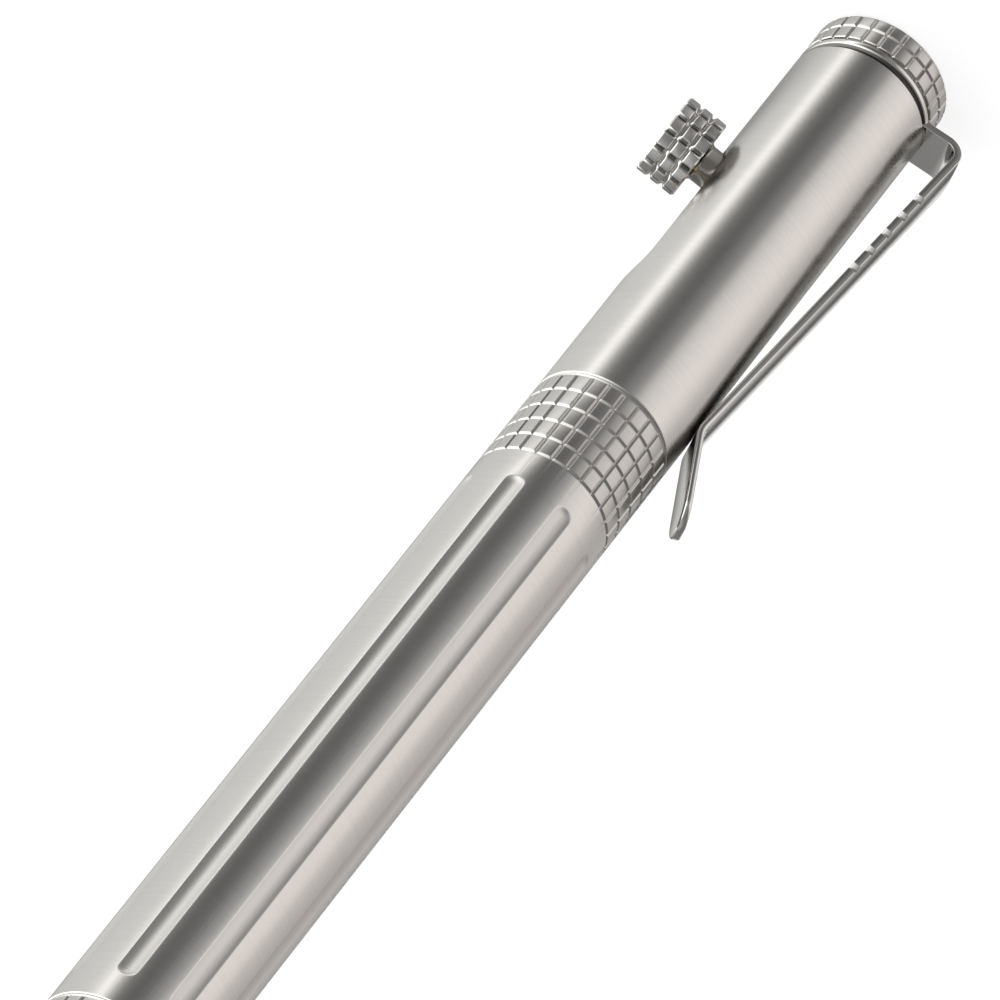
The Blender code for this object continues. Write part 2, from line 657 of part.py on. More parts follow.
def make_bolt_handle(material, carrier):
    """Knurled knob, waisted neck, stem and stud as one turned piece."""
    angles = knurl_angles(KNOB_COLUMNS, KNOB_GROOVE_DEGREES, KNOB_PHASE_DEGREES)
    rows = knurl_rows(KNOB_RADIUS, KNOB_INNER_X, KNOB_OUTER_X, KNOB_ROWS, KNOB_DEPTH)
    profile = [(0, STUD_END_X), (STUD_RADIUS, STUD_END_X), (STUD_RADIUS, STEM_SEAT_X)]
    profile += [(STEM_RADIUS, STEM_SEAT_X), (STEM_RADIUS, KNOB_INNER_X - KNOB_NECK)]
    profile += [(STEM_RADIUS + KNOB_NECK, KNOB_INNER_X), (KNOB_RADIUS - KNOB_DEPTH, KNOB_INNER_X)]
    profile += rows[1:-1]
    profile += [(KNOB_RADIUS - KNOB_DEPTH, KNOB_OUTER_X), (0, KNOB_OUTER_X)]
    return finish_mesh("bolt_handle", lay_along_x(turned(profile, angles)), material, carrier)


def make_refill_tube(material, carrier):
    """Metal tube with a shoulder for the spring and a stepped nozzle."""
    rear = REFILL_REAR_Z + PLUG_HEAD + SEAM
    nozzle_end = REFILL_TIP_Z - NOZZLE_TIP_FROM_END
    bore = REFILL_RADIUS - REFILL_WALL
    step = SHOULDER_Z + NOZZLE_ROOT_LENGTH
    point_bore = POINT_SPIGOT_RADIUS + THREAD_FIT
    profile = [(bore, rear), (REFILL_RADIUS, rear), (REFILL_RADIUS, SHOULDER_Z - REFILL_CHAMFER)]
    profile += [(REFILL_RADIUS - REFILL_CHAMFER, SHOULDER_Z), (NOZZLE_ROOT_RADIUS, SHOULDER_Z)]
    profile += [(NOZZLE_ROOT_RADIUS, step), (NOZZLE_RADIUS, step + REFILL_CHAMFER)]
    profile += [(NOZZLE_RADIUS, nozzle_end)]
    profile += [(point_bore, nozzle_end), (point_bore, SHOULDER_Z), (bore, SHOULDER_Z - bore)]
    return finish_mesh("refill_tube", turned(profile, even_angles(SMALL_COUNT)), material, carrier)


def make_refill_plug(material, carrier):
    head_end = REFILL_REAR_Z + PLUG_HEAD
    spigot = REFILL_RADIUS - REFILL_WALL - THREAD_FIT
    profile = [(0, REFILL_REAR_Z), (spigot, REFILL_REAR_Z), (REFILL_RADIUS, REFILL_REAR_Z + REFILL_WALL)]
    profile += [(REFILL_RADIUS, head_end), (spigot, head_end), (spigot, head_end + PLUG_SPIGOT)]
    profile += [(0, head_end + PLUG_SPIGOT)]
    return finish_mesh("refill_end_plug", turned(profile, even_angles(SMALL_COUNT)), material, carrier)


def make_ink(material, carrier):
    start = REFILL_REAR_Z + PLUG_HEAD + PLUG_SPIGOT + SEAM
    bore = REFILL_RADIUS - REFILL_WALL
    radius = bore - THREAD_FIT
    end = SHOULDER_Z - bore - INK_END_ROOM
    profile = [(0, start), (radius, start), (radius, end), (0, end)]
    return finish_mesh("ink_column", turned(profile, even_angles(SMALL_COUNT)), material, carrier)


def make_refill_point(material, carrier):
    """Point pressed into the nozzle, with a cone seat for the ball."""
    base = REFILL_TIP_Z - NOZZLE_TIP_FROM_END + SEAM
    ball_z = REFILL_TIP_Z - BALL_RADIUS
    seat_depth = (BALL_RADIUS + BALL_FIT) * math.sqrt(2)
    rim = (BALL_RADIUS + POINT_TIP_RADIUS) / 2
    profile = [(0, base - POINT_SPIGOT_LENGTH), (POINT_SPIGOT_RADIUS, base - POINT_SPIGOT_LENGTH)]
    profile += [(POINT_SPIGOT_RADIUS, base), (NOZZLE_RADIUS, base), (NOZZLE_RADIUS, base + REFILL_CHAMFER)]
    profile += [(POINT_TIP_RADIUS, ball_z - seat_depth + rim), (rim, ball_z - seat_depth + rim)]
    profile += [(0, ball_z - seat_depth)]
    return finish_mesh("refill_point", turned(profile, even_angles(SMALL_COUNT)), material, carrier)


def make_point_ball(material, carrier):
    shape = bmesh.new()
    bmesh.ops.create_uvsphere(shape, u_segments=BALL_COUNT, v_segments=BALL_RINGS, radius=BALL_RADIUS)
    place = Vector((0, 0, REFILL_TIP_Z - BALL_RADIUS))
    bmesh.ops.translate(shape, vec=place, verts=shape.verts)
    return finish_mesh("point_ball", shape, material, carrier)


def spring_points():
    """Points along the spring's wire, from the refill's shoulder to its seat in the nose."""
    start = SHOULDER_Z + SPRING_SEAT_ROOM + SPRING_WIRE / 2
    rise = SPRING_SEAT_Z - SPRING_SEAT_ROOM - SPRING_WIRE / 2 - start
    count = SPRING_TURNS * SPRING_POINTS_PER_TURN
    points = []
    for step in range(count + 1):
        angle = math.tau * step / SPRING_POINTS_PER_TURN
        height = start + rise * step / count
        points.append(Vector((SPRING_RADIUS * math.cos(angle), SPRING_RADIUS * math.sin(angle), height)))
    return points


def spring_gap(points):
    """Least gap of the wire to itself, between points half a turn or more apart."""
    apart = SPRING_POINTS_PER_TURN // 2
    least = math.inf
    for index, point in enumerate(points):
        for other in points[index + apart:]:
            least = min(least, (point - other).length - SPRING_WIRE)
    return least


def make_return_spring(material):
    points = spring_points()
    print(f"return_spring least gap to itself: {spring_gap(points):.2f} mm")
    curve = bpy.data.curves.new("return_spring", "CURVE")
    curve.dimensions = "3D"
    curve.bevel_depth = SPRING_WIRE / 2 * MM
    curve.bevel_resolution = 1
    curve.use_fill_caps = True
    spline = curve.splines.new("POLY")
    spline.points.add(len(points) - 1)
    for spot, point in zip(spline.points, points):
        spot.co = (*(point * MM), 1.0)
    curve.materials.append(material)
    return add_object("return_spring", curve)


def build():
    clear_scene()
    steel = make_material("satin_steel", STEEL, 0.32, 1.0)
    bright = make_material("bright_steel", STEEL, 0.15, 1.0)
    brass = make_material("brass", BRASS, 0.35, 1.0)
    plastic = make_material("grey_plastic", PLUG_GREY, 0.5, 0.0)
    rubber = make_material("black_rubber", RUBBER, 0.7, 0.0)
    ink = make_material("blue_ink", INK_BLUE, 0.3, 0.0)
    make_end_cap(steel)
    make_pocket_clip(bright)
    make_upper_barrel(steel)
    make_lower_barrel(steel)
    make_nose_cone(steel)
    make_seal("cap_seal_ring", CAP_SPIGOT_RADIUS, UPPER_Z + CAP_SEAL_OFFSET, rubber)
    make_seal("joint_seal_ring", JOINT_SPIGOT_RADIUS, UPPER_Z + UPPER_LENGTH, rubber)
    make_seal("nose_seal_ring", NOSE_SPIGOT_RADIUS, NOSE_Z - SEAL_GROOVE_WIDTH, rubber)
    make_return_spring(bright)
    refill_axis = add_empty("refill_axis")
    make_refill_tube(bright, refill_axis)
    make_refill_plug(plastic, refill_axis)
    make_ink(ink, refill_axis)
    make_refill_point(brass, refill_axis)
    make_point_ball(bright, refill_axis)
    bolt_axis = add_empty("bolt_axis", refill_axis)
    make_plunger(brass, bolt_axis)
    make_bolt_handle(steel, bolt_axis)


build()
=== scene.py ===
"""Looks of the bolt action pen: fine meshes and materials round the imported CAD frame.

Sizes are in millimetres and repeat the CAD's; meshes are made in metres in the CAD's frame.
The pen stands on its cap, its axis is +Z, and the bolt points to +X.
"""
import math

import bmesh
import bpy
from mathutils import Matrix, Vector


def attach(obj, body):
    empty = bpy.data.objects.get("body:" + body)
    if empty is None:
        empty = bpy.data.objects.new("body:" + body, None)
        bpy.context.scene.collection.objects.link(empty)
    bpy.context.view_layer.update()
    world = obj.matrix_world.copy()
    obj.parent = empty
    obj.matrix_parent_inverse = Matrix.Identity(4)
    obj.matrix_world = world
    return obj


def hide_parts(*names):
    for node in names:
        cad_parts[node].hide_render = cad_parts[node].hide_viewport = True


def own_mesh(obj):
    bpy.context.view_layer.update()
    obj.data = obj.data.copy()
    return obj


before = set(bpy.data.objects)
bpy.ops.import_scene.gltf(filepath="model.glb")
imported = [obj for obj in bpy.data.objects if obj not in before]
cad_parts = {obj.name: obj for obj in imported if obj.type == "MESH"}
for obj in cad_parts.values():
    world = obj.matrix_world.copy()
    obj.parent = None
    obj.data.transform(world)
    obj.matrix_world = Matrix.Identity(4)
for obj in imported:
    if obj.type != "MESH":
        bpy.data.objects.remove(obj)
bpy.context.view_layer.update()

MM = 0.001

# Camera, fitted to the photograph's outline and ring seams
PHOTO_PIXELS = 1000
CAMERA_FOCAL_PIXELS = 11618.0
CAMERA_PLACE = (0.0, -611.98, 559.6)
CAMERA_FORWARD = (0.00312, 0.77013, -0.63788)
CAMERA_UP = (0.61924, -0.50236, -0.60347)
CAMERA_SENSOR = 36.0
CAMERA_CLIP_START = 0.01
CAMERA_CLIP_END = 20.0

# Barrel
BARREL_RADIUS = 5.35
BARREL_BORE = 3.7
REFILL_BORE = 3.2
CLIP_Z = 3.01
CLIP_THICKNESS = 0.64
UPPER_Z = 3.70
UPPER_END = 42.60
LOWER_Z = 42.65
LOWER_END = 110.25
NOSE_Z = 110.30
TIP_Z = 141.0
EDGE_CHAMFER = 0.3
EDGE_ROUND = 0.07
SEAM_ROUND = 0.17
RING_CHAMFER = 0.42
SOCKET_END_ROOM = 0.4
THREAD_FIT = 0.05

# Cap
CAP_HEIGHT = 2.96
CAP_NECK_HEIGHT = 0.25
CAP_NECK_DEPTH = 0.35
CAP_CHAMFER = 0.2
CAP_ROWS = 2
CAP_SPIGOT_RADIUS = 4.1
CAP_SPIGOT_LENGTH = 6.4

# Knurl
KNURL_COLUMNS = 27
KNURL_DEPTH = 0.14
KNURL_GROOVE_WIDTH = 0.34
KNURL_RING_WIDTH = 0.32
KNURL_FLOOR = 5.1
KNURL_PHASE = math.radians(-87.5)
BAND_LENGTH = 8.8
BAND_ROWS = 5
COLLAR_LENGTH = 5.4
COLLAR_ROWS = 3
GROOVE_WALL = 0.95
GROOVE_SAMPLES = (-1.12, -0.86, -0.6, -0.3, 0.0, 0.3, 0.6, 0.86, 1.12)

# Flutes
FLUTE_COUNT = 8
FLUTE_WIDTH = 1.45
FLUTE_DEPTH = 0.2
FLUTE_PHASE = math.radians(-62.0)
FLUTE_MARGIN = 2.5
FLUTE_EDGE = 0.035
FLUTE_LIP = 0.02
FLUTE_FLOOR_SLACK = 0.99
FLUTE_HALF_SAMPLES = (-1.15, -1.03, -0.97, -0.88, -0.72, -0.5, -0.25, 0.0)
FLUTE_SAMPLES = FLUTE_HALF_SAMPLES + tuple(-sample for sample in reversed(FLUTE_HALF_SAMPLES[:-1]))

# Joints between the tubes
JOINT_SPIGOT_RADIUS = 4.6
JOINT_SPIGOT_LENGTH = 7.0
NOSE_SPIGOT_RADIUS = 4.15
NOSE_SPIGOT_LENGTH = 7.0
PLUNGER_ROOM_END = 54.05
SEAL_SECTION = 0.42
SEAL_GROOVE_WIDTH = 0.8

# Nose
NOSE_ROOT_RADIUS = 5.3
NOSE_BULGE = 1.7
NOSE_TIP_RADIUS = 1.95
NOSE_TIP_ROUND = 0.35
NOSE_TIP_HOLE = 1.35
NOSE_SPRING_BORE = 2.15
NOSE_BORE_STEP_Z = 128.1
SPRING_SEAT_Z = 134.6
NOSE_STEPS = 40

# Clip
CLIP_WIDTH = 4.0
CLIP_TIP_WIDTH = 3.9
CLIP_AZIMUTH = math.radians(187.0)
CLIP_STANDOFF = 2.52
CLIP_SEAM = 0.05
CLIP_BEND_RADIUS = 1.3
CLIP_CONTACT_Z = 38.21
CLIP_CONTACT_RADIUS = 2.5
CLIP_FLARE = math.radians(21.4)
CLIP_FLARE_LENGTH = 7.6
CLIP_NOTCHES = 5
CLIP_NOTCH_SPACING = 2.18
CLIP_NOTCH_START_Z = 9.72
CLIP_NOTCH_WIDTH = 0.68
CLIP_NOTCH_DEPTH = 0.4
CLIP_EDGE_ROUND = 0.06
CLIP_TIP_ROUND = 0.26
CLIP_CORNER_LIMIT = 0.9
CLIP_CROWN = 0.06
CLIP_CROWN_SHARES = (0.96, 0.75, 0.5, 0.25, 0.0, -0.25, -0.5, -0.75, -0.96)
CLIP_RING_FOOT = 0.08
CLIP_RING_TOP = 0.5
CLIP_RING_SEAM = 0.07
CLIP_BEND_STEPS = 16
CLIP_NOTCH_STEPS = 12
CLIP_TIP_STEPS = 32

# Bolt, slot and plunger
BOLT_Z = 17.1
BOLT_TRAVEL = 10.4
BOLT_TURN = math.radians(30.0)
STEM_RADIUS = 1.45
STUD_RADIUS = 1.1
STUD_END_X = -0.6
STEM_SEAT_X = 2.5
KNOB_RADIUS = 3.15
KNOB_INNER_X = 6.3
KNOB_OUTER_X = 9.55
KNOB_ROWS = 3
KNOB_COLUMNS = 14
KNOB_PHASE = math.radians(-125.0)
KNOB_DEPTH = 0.21
KNOB_GROOVE_WIDTH = 0.6
KNOB_RING_WIDTH = 0.46
KNOB_RING_DEPTH = 0.25
KNOB_DARK_SHARE = 0.45
KNOB_NECK = 0.3
KNOB_CHAMFER = 0.12
SLOT_HALF = 1.65
SLOT_SIDE_FIT = 0.2
SLOT_CHAMFER = 0.16
SLOT_STEPS = 12
SLOT_INSIDE_RADIUS = 3.5
SLOT_OUTSIDE_RADIUS = 9.0

# Pieces inside
PLUNGER_RADIUS = 3.6
PLUNGER_REAR_Z = 12.35
PLUNGER_FRONT_Z = 42.6
PLUNGER_CHAMFER = 0.4
PLUNGER_SOCKET_RADIUS = 3.0
REFILL_REAR_Z = 39.6
REFILL_TIP_Z = 136.6
REFILL_RADIUS = 2.9
REFILL_WALL = 0.35
REFILL_SHOULDER_Z = 117.6
REFILL_CHAMFER = 0.4
PLUG_HEAD = 1.0
NOZZLE_ROOT_RADIUS = 1.45
NOZZLE_ROOT_LENGTH = 6.0
NOZZLE_RADIUS = 1.17
NOZZLE_TIP_FROM_END = 6.1
POINT_SPIGOT_RADIUS = 0.75
POINT_SPIGOT_LENGTH = 3.5
POINT_TIP_RADIUS = 0.48
POINT_SEAM = 0.05
BALL_RADIUS = 0.35
BALL_FIT = 0.02
SPRING_WIRE = 0.34
SPRING_RADIUS = 1.78
SPRING_TURNS = 8
SPRING_SEAT_ROOM = 0.1
SPRING_POINTS_PER_TURN = 32
SPRING_BEVEL_STEPS = 3

# Facets
ROUND = 192
BORE_ROUND = 96
SMALL_ROUND = 72
SMOOTH_ANGLE = math.radians(40.0)
WELD_DISTANCE = 1e-6
CORNER_STEPS = 4
ANGLE_DIGITS = 4

# Finishes and painted shade: colours, scales of the tool lines, and how strong the grain is
STEEL = (0.62, 0.608, 0.594)
KNURLED = (0.53, 0.52, 0.507)
BRIGHT = (0.64, 0.63, 0.615)
# This colour is painted shade in the floors of the knob's lengthwise grooves.
PAINTED_GROOVE_SHADE = (0.2, 0.195, 0.185)
# This colour is painted shade on the stem, between the knob and the barrel.
PAINTED_STEM_SHADE = (0.36, 0.34, 0.32)
# This colour is painted shade in the seam between the clip's ring and the barrel.
PAINTED_SEAM_SHADE = (0.12, 0.115, 0.11)
BRASS = (0.72, 0.55, 0.29)
DULL_BRASS = (0.36, 0.3, 0.22)
ROUND_LINES = (40.0, 40.0, 4000.0)
KNOB_LINES = (11000.0, 300.0, 300.0)
CLIP_LINES = (9000.0, 9000.0, 500.0)
RUBBER = (0.03, 0.03, 0.03)
PLASTIC = (0.12, 0.12, 0.13)
INK = (0.02, 0.03, 0.16)
METAL_TONES = (0.96, 1.04)
METAL_DETAIL = 1.0
PATCH_SCALE = 150.0
SOFT_TONES = (0.8, 1.25)
SOFT_DETAIL = 3.0
BUMP_DISTANCE = 0.00002

# Floor, world and lamp
FLOOR_SIZE = 4.0
FLOOR_GLOW = 0.78
FLOOR_COLOUR = (0.32, 0.32, 0.32, 1.0)
FLOOR_PLAIN = (0.8, 0.8, 0.8, 1.0)
WORLD_LIGHT = 0.75
SOFTBOX_PLACE = (0.15, 0.1, 0.8)
SOFTBOX_AIM = (0, 0, 0.05)
SOFTBOX_SIZE = (0.5, 0.5)
SOFTBOX_POWER = 1.2

# Soft shade on the table, and the studio's dome
SHADE_PLACE = (0.006, 0.014, 0.0002)
SHADE_SIZE = 0.05
SHADE_FULL = 0.005
SHADE_END = 0.021
SHADE_COLOUR = (0.36, 0.36, 0.36, 1.0)
DOME_RADIUS = 3.0
DOME_ROUND = 64
DOME_RINGS = 32
DOME_LEVEL = 0.07
DOME_TOP = (0.55, 0.55, 0.55)
DOME_FOOT = (0.4, 0.4, 0.4)
HORIZON_DEGREES = (-16.0, 2.0)
CEILING_DEGREES = (50.0, 80.0)
FOOT_DEGREES = (-60.0, -78.0)
RAMP_RANGE = 2.0

# Light below the pen by the angle of the barrel's face that mirrors it, in degrees
BELOW_STOPS = (
    (-90, (0.1, 0.1, 0.1)),
    (-84, (0.3, 0.3, 0.295)),
    (-79, (0.66, 0.66, 0.65)),
    (-66, (0.84, 0.84, 0.825)),
    (-43, (0.96, 0.96, 0.94)),
    (-37, (1.05, 1.05, 1.02)),
    (-34, (2.0, 1.99, 1.94)),
    (-30.5, (1.75, 1.73, 1.69)),
    (-27, (0.72, 0.71, 0.7)),
    (-22, (0.21, 0.21, 0.205)),
    (-12, (0.14, 0.142, 0.14)),
    (-8, (0.16, 0.16, 0.16)),
    (-4, (0.3, 0.3, 0.3)),
    (3, (0.34, 0.34, 0.34)),
    (8, (0.85, 0.84, 0.83)),
    (14, (1.04, 1.01, 0.98)),
    (26, (1.22, 1.16, 1.12)),
    (33, (1.16, 1.1, 1.06)),
    (46, (0.7, 0.67, 0.64)),
    (58, (0.6, 0.58, 0.56)),
    (75.8, (0.66, 0.645, 0.63)),
    (78.2, (0.05, 0.05, 0.05)),
    (80.2, (0.05, 0.05, 0.05)),
    (81.6, (1.0, 0.99, 0.98)),
    (87.5, (1.0, 0.99, 0.98)),
    (90, (0.1, 0.1, 0.1)),
)

# Light of the studio's walls above the pen, by the same angle
DOME_STOPS = (
    (-90, (0.3, 0.3, 0.3)),
    (-76, (0.5, 0.5, 0.5)),
    (-66, (2.4, 2.4, 2.34)),
    (-26, (2.4, 2.4, 2.34)),
    (-14, (0.8, 0.8, 0.78)),
    (-6, (0.32, 0.32, 0.32)),
    (14, (0.25, 0.25, 0.25)),
    (60, (0.22, 0.215, 0.21)),
    (90, (0.3, 0.3, 0.3)),
)


def add_object(name, data):
    """A new object in the scene."""
    item = bpy.data.objects.new(name, data)
    bpy.context.scene.collection.objects.link(item)
    return item


def smooth(mesh):
    """Smooth shading, with sharp edges where faces meet at a steep angle."""
    mesh.shade_smooth()
    mesh.set_sharp_from_angle(angle=SMOOTH_ANGLE)


def add_piece(name, shape, material, body, nodes):
    """Turn a bmesh in millimetres into a piece in metres that stands for CAD nodes."""
    bmesh.ops.recalc_face_normals(shape, faces=shape.faces)
    if shape.calc_volume(signed=True) < 0:
        bmesh.ops.reverse_faces(shape, faces=shape.faces)
    bmesh.ops.scale(shape, vec=(MM, MM, MM), verts=shape.verts)
    piece = add_object(name, bpy.data.meshes.new(name))
    shape.to_mesh(piece.data)
    shape.free()
    piece.data.materials.append(material)
    smooth(piece.data)
    if body:
        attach(piece, body)
        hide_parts(*nodes)
    return piece


def add_finish(piece, material):
    """Give a piece one more material, and say which number it has there."""
    piece.data.materials.append(material)
    return len(piece.data.materials) - 1


def roughen_knurl(piece, material, low, high):
    """Give the outer faces of a knurled zone, from one level to another, their own finish."""
    index = add_finish(piece, material)
    for face in piece.data.polygons:
        reach = math.hypot(face.center.x, face.center.y)
        if low * MM < face.center.z < high * MM and reach > KNURL_FLOOR * MM:
            face.material_index = index


def dull_flutes(piece, material):
    """Give the hollow faces of the flutes the duller finish a ball-nose cutter leaves."""
    index = add_finish(piece, material)
    floor = (BARREL_RADIUS - FLUTE_DEPTH) * MM * FLUTE_FLOOR_SLACK
    lip = (BARREL_RADIUS - FLUTE_LIP) * MM
    low = (LOWER_Z + BAND_LENGTH) * MM
    high = LOWER_END * MM - FLUTE_MARGIN * MM / 2
    for face in piece.data.polygons:
        hollow = floor < face.center.xy.length < lip
        if hollow and low < face.center.z < high:
            face.material_index = index


def arc(start, sweep, steps):
    """Angles along an arc, ends included."""
    return [start + sweep * step / steps for step in range(steps + 1)]


def even_angles(count):
    """Angles evenly spaced round the axis."""
    return [math.tau * (step + 0.5) / count for step in range(count)]


def groove_share(offset, half):
    """Share of full depth at an offset from a groove's middle: sloped walls, soft corners."""
    share = min(1.0, max(0.0, (half - abs(offset)) / (GROOVE_WALL * half)))
    return share * share * (3 - 2 * share)


def nearest_offset(angle, phase, count):
    """Signed angle to the nearest of count evenly spaced places round the axis."""
    step = math.tau / count
    return (angle - phase + step / 2) % step - step / 2


def knurl_angles(columns, phase, groove_width, radius):
    """Angles round a knurled piece, close together in its lengthwise grooves."""
    half = groove_width / 2 / radius
    step = math.tau / columns
    angles = []
    for column in range(columns):
        middle = phase + step * column
        angles += [middle + half * sample for sample in GROOVE_SAMPLES]
        angles.append(middle + step / 2)
    return angles


def barrel_knurl_angles():
    """Angles round the cap, the lower barrel and the nose, which share one knurl."""
    return knurl_angles(KNURL_COLUMNS, KNURL_PHASE, KNURL_GROOVE_WIDTH, BARREL_RADIUS)


def ring_grooves(start, length, rows):
    """Middles of a band's ring grooves, with one at each end of the band."""
    pitch = (length - KNURL_RING_WIDTH) / rows
    return [start + KNURL_RING_WIDTH / 2 + pitch * row for row in range(rows + 1)]


def groove_levels(grooves, width):
    """Levels along the axis, close together in the ring grooves."""
    return [groove + width / 2 * sample for groove in grooves for sample in GROOVE_SAMPLES]


def knurl_depth(angle, level, grooves, start, end):
    """Depth of the barrel's knurl at a place: the deeper of ring and lengthwise groove."""
    if not start <= level <= end:
        return 0.0
    across = nearest_offset(angle, KNURL_PHASE, KNURL_COLUMNS) * BARREL_RADIUS
    share = groove_share(across, KNURL_GROOVE_WIDTH / 2)
    for groove in grooves:
        share = max(share, groove_share(level - groove, KNURL_RING_WIDTH / 2))
    return KNURL_DEPTH * share


def ring(shape, angles, level, reach):
    """One ring of vertices; reach is a radius or a function of the angle."""
    verts = []
    for angle in angles:
        radius = reach(angle) if callable(reach) else reach
        verts.append(shape.verts.new((radius * math.cos(angle), radius * math.sin(angle), level)))
    return verts


def join_rings(shape, lower, upper):
    """Faces between two rings, of which either may be one point."""
    count = max(len(lower), len(upper))
    for step in range(count):
        after = (step + 1) % count
        corners = [lower[step % len(lower)], lower[after % len(lower)]]
        corners += [upper[after % len(upper)], upper[step % len(upper)]]
        shape.faces.new(list(dict.fromkeys(corners)))


def skin(stations, angles):
    """Skin over stations of (reach, level); a reach of 0 is a point on the axis.

    Stations that start off the axis close on themselves, as for a tube.
    """
    shape = bmesh.new()
    rings = []
    for reach, level in stations:
        if reach == 0:
            rings.append([shape.verts.new((0, 0, level))])
        else:
            rings.append(ring(shape, angles, level, reach))
    pairs = list(zip(rings, rings[1:]))
    if stations[0][0] != 0:
        pairs.append((rings[-1], rings[0]))
    for lower, upper in pairs:
        join_rings(shape, lower, upper)
    return shape


def rounded_edge(radius, top, corner, steps):
    """Stations over an outer edge that is rounded by a corner radius, up to its top."""
    return [(radius - corner * (1 - math.cos(angle)), top - corner * (1 - math.sin(angle)))
            for angle in arc(0.0, math.pi / 2, steps)]


def knurl_station(level, grooves, start, end, radius=BARREL_RADIUS):
    """A station whose reach follows the knurl at its level."""
    return (lambda angle: radius - knurl_depth(angle, level, grooves, start, end), level)


def weld(mesh):
    """Join the mesh's doubled points and drop faces without area."""
    shape = bmesh.new()
    shape.from_mesh(mesh)
    bmesh.ops.remove_doubles(shape, verts=shape.verts, dist=WELD_DISTANCE)
    bmesh.ops.dissolve_degenerate(shape, edges=shape.edges, dist=WELD_DISTANCE)
    shape.to_mesh(mesh)
    shape.free()


def cut(target, cutter, operation="DIFFERENCE"):
    """Cut or join target with cutter at once, and take the cutter away."""
    modifier = target.modifiers.new("cut", "BOOLEAN")
    modifier.operation = operation
    modifier.object = cutter
    graph = bpy.context.evaluated_depsgraph_get()
    made = bpy.data.meshes.new_from_object(target.evaluated_get(graph))
    target.modifiers.clear()
    weld(made)
    target.data = made
    bpy.data.objects.remove(cutter, do_unlink=True)
    smooth(made)


def make_end_cap(material, knurl_material):
    """Knurled cap with its screw spigot and seal groove."""
    knurl_end = CAP_HEIGHT - CAP_NECK_HEIGHT
    pitch = knurl_end / CAP_ROWS
    grooves = [pitch * row for row in range(1, CAP_ROWS)]
    levels = [CAP_CHAMFER + EDGE_ROUND] + groove_levels(grooves, KNURL_RING_WIDTH)
    levels.append(knurl_end - EDGE_ROUND)
    flat = BARREL_RADIUS - CAP_CHAMFER
    neck = BARREL_RADIUS - CAP_NECK_DEPTH
    stations = [(0, 0), (flat - EDGE_ROUND, 0), (flat, EDGE_ROUND / 2)]
    stations.append(knurl_station(CAP_CHAMFER, grooves, 0, knurl_end, BARREL_RADIUS - EDGE_ROUND / 2))
    stations += [knurl_station(level, grooves, 0, knurl_end) for level in levels]
    stations.append(knurl_station(knurl_end, grooves, 0, knurl_end, BARREL_RADIUS - EDGE_ROUND))
    stations += [(neck, knurl_end), (neck, CAP_HEIGHT), (CAP_SPIGOT_RADIUS, CAP_HEIGHT)]
    groove = UPPER_Z + SOCKET_END_ROOM
    bottom = CAP_SPIGOT_RADIUS - SEAL_SECTION
    groove_end = groove + SEAL_GROOVE_WIDTH
    stations += [(CAP_SPIGOT_RADIUS, groove), (bottom, groove), (bottom, groove_end)]
    end = CAP_HEIGHT + CAP_SPIGOT_LENGTH
    stations += [(CAP_SPIGOT_RADIUS, groove_end), (CAP_SPIGOT_RADIUS, end - EDGE_CHAMFER)]
    stations += [(CAP_SPIGOT_RADIUS - EDGE_CHAMFER, end), (0, end)]
    cap = add_piece("end_cap_fine", skin(stations, barrel_knurl_angles()), material,
                    "barrel", ["end_cap"])
    roughen_knurl(cap, knurl_material, CAP_CHAMFER, knurl_end)


def slot_outline():
    """Outline of the slot as (turn, side, level): side is measured square to the turned direction."""
    rest = BOLT_Z
    lock = BOLT_Z + BOLT_TRAVEL
    low = lock + SLOT_SIDE_FIT + 2 * SLOT_HALF
    corner_z = lock + SLOT_SIDE_FIT
    points = []

    def round_off(turn, middle, start, sweep, steps=SLOT_STEPS):
        for angle in arc(start, sweep, steps):
            points.append((turn, SLOT_HALF * math.cos(angle), middle + SLOT_HALF * math.sin(angle)))

    round_off(0.0, rest, math.pi, math.pi / 2)
    points += [(turn, 0.0, rest - SLOT_HALF) for turn in arc(0.0, BOLT_TURN, SLOT_STEPS)[1:-1]]
    round_off(BOLT_TURN, rest, -math.pi / 2, math.pi, 2 * SLOT_STEPS)
    points.append((0.0, SLOT_HALF, rest + SLOT_HALF))
    points.append((0.0, SLOT_HALF, lock - SLOT_HALF))
    round_off(BOLT_TURN, lock, -math.pi / 2, math.pi / 2)
    round_off(BOLT_TURN, low - SLOT_HALF, 0.0, math.pi / 2)
    for angle in arc(math.pi / 2, math.pi / 2, SLOT_STEPS):
        side = SLOT_HALF + 2 * SLOT_HALF * math.cos(angle)
        points.append((0.0, side, corner_z + 2 * SLOT_HALF * math.sin(angle)))
    return points


def unrolled(points):
    """The outline on the barrel's unrolled surface, in millimetres."""
    return [Vector((BARREL_RADIUS * (turn + math.asin(side / BARREL_RADIUS)), level))
            for turn, side, level in points]


def widened(flat, amount):
    """The unrolled outline moved outward by an amount along its normals."""
    moved = []
    for index, point in enumerate(flat):
        before = flat[index - 1]
        after = flat[(index + 1) % len(flat)]
        along = (after - before).normalized()
        moved.append(point + Vector((along.y, -along.x)) * amount)
    return moved


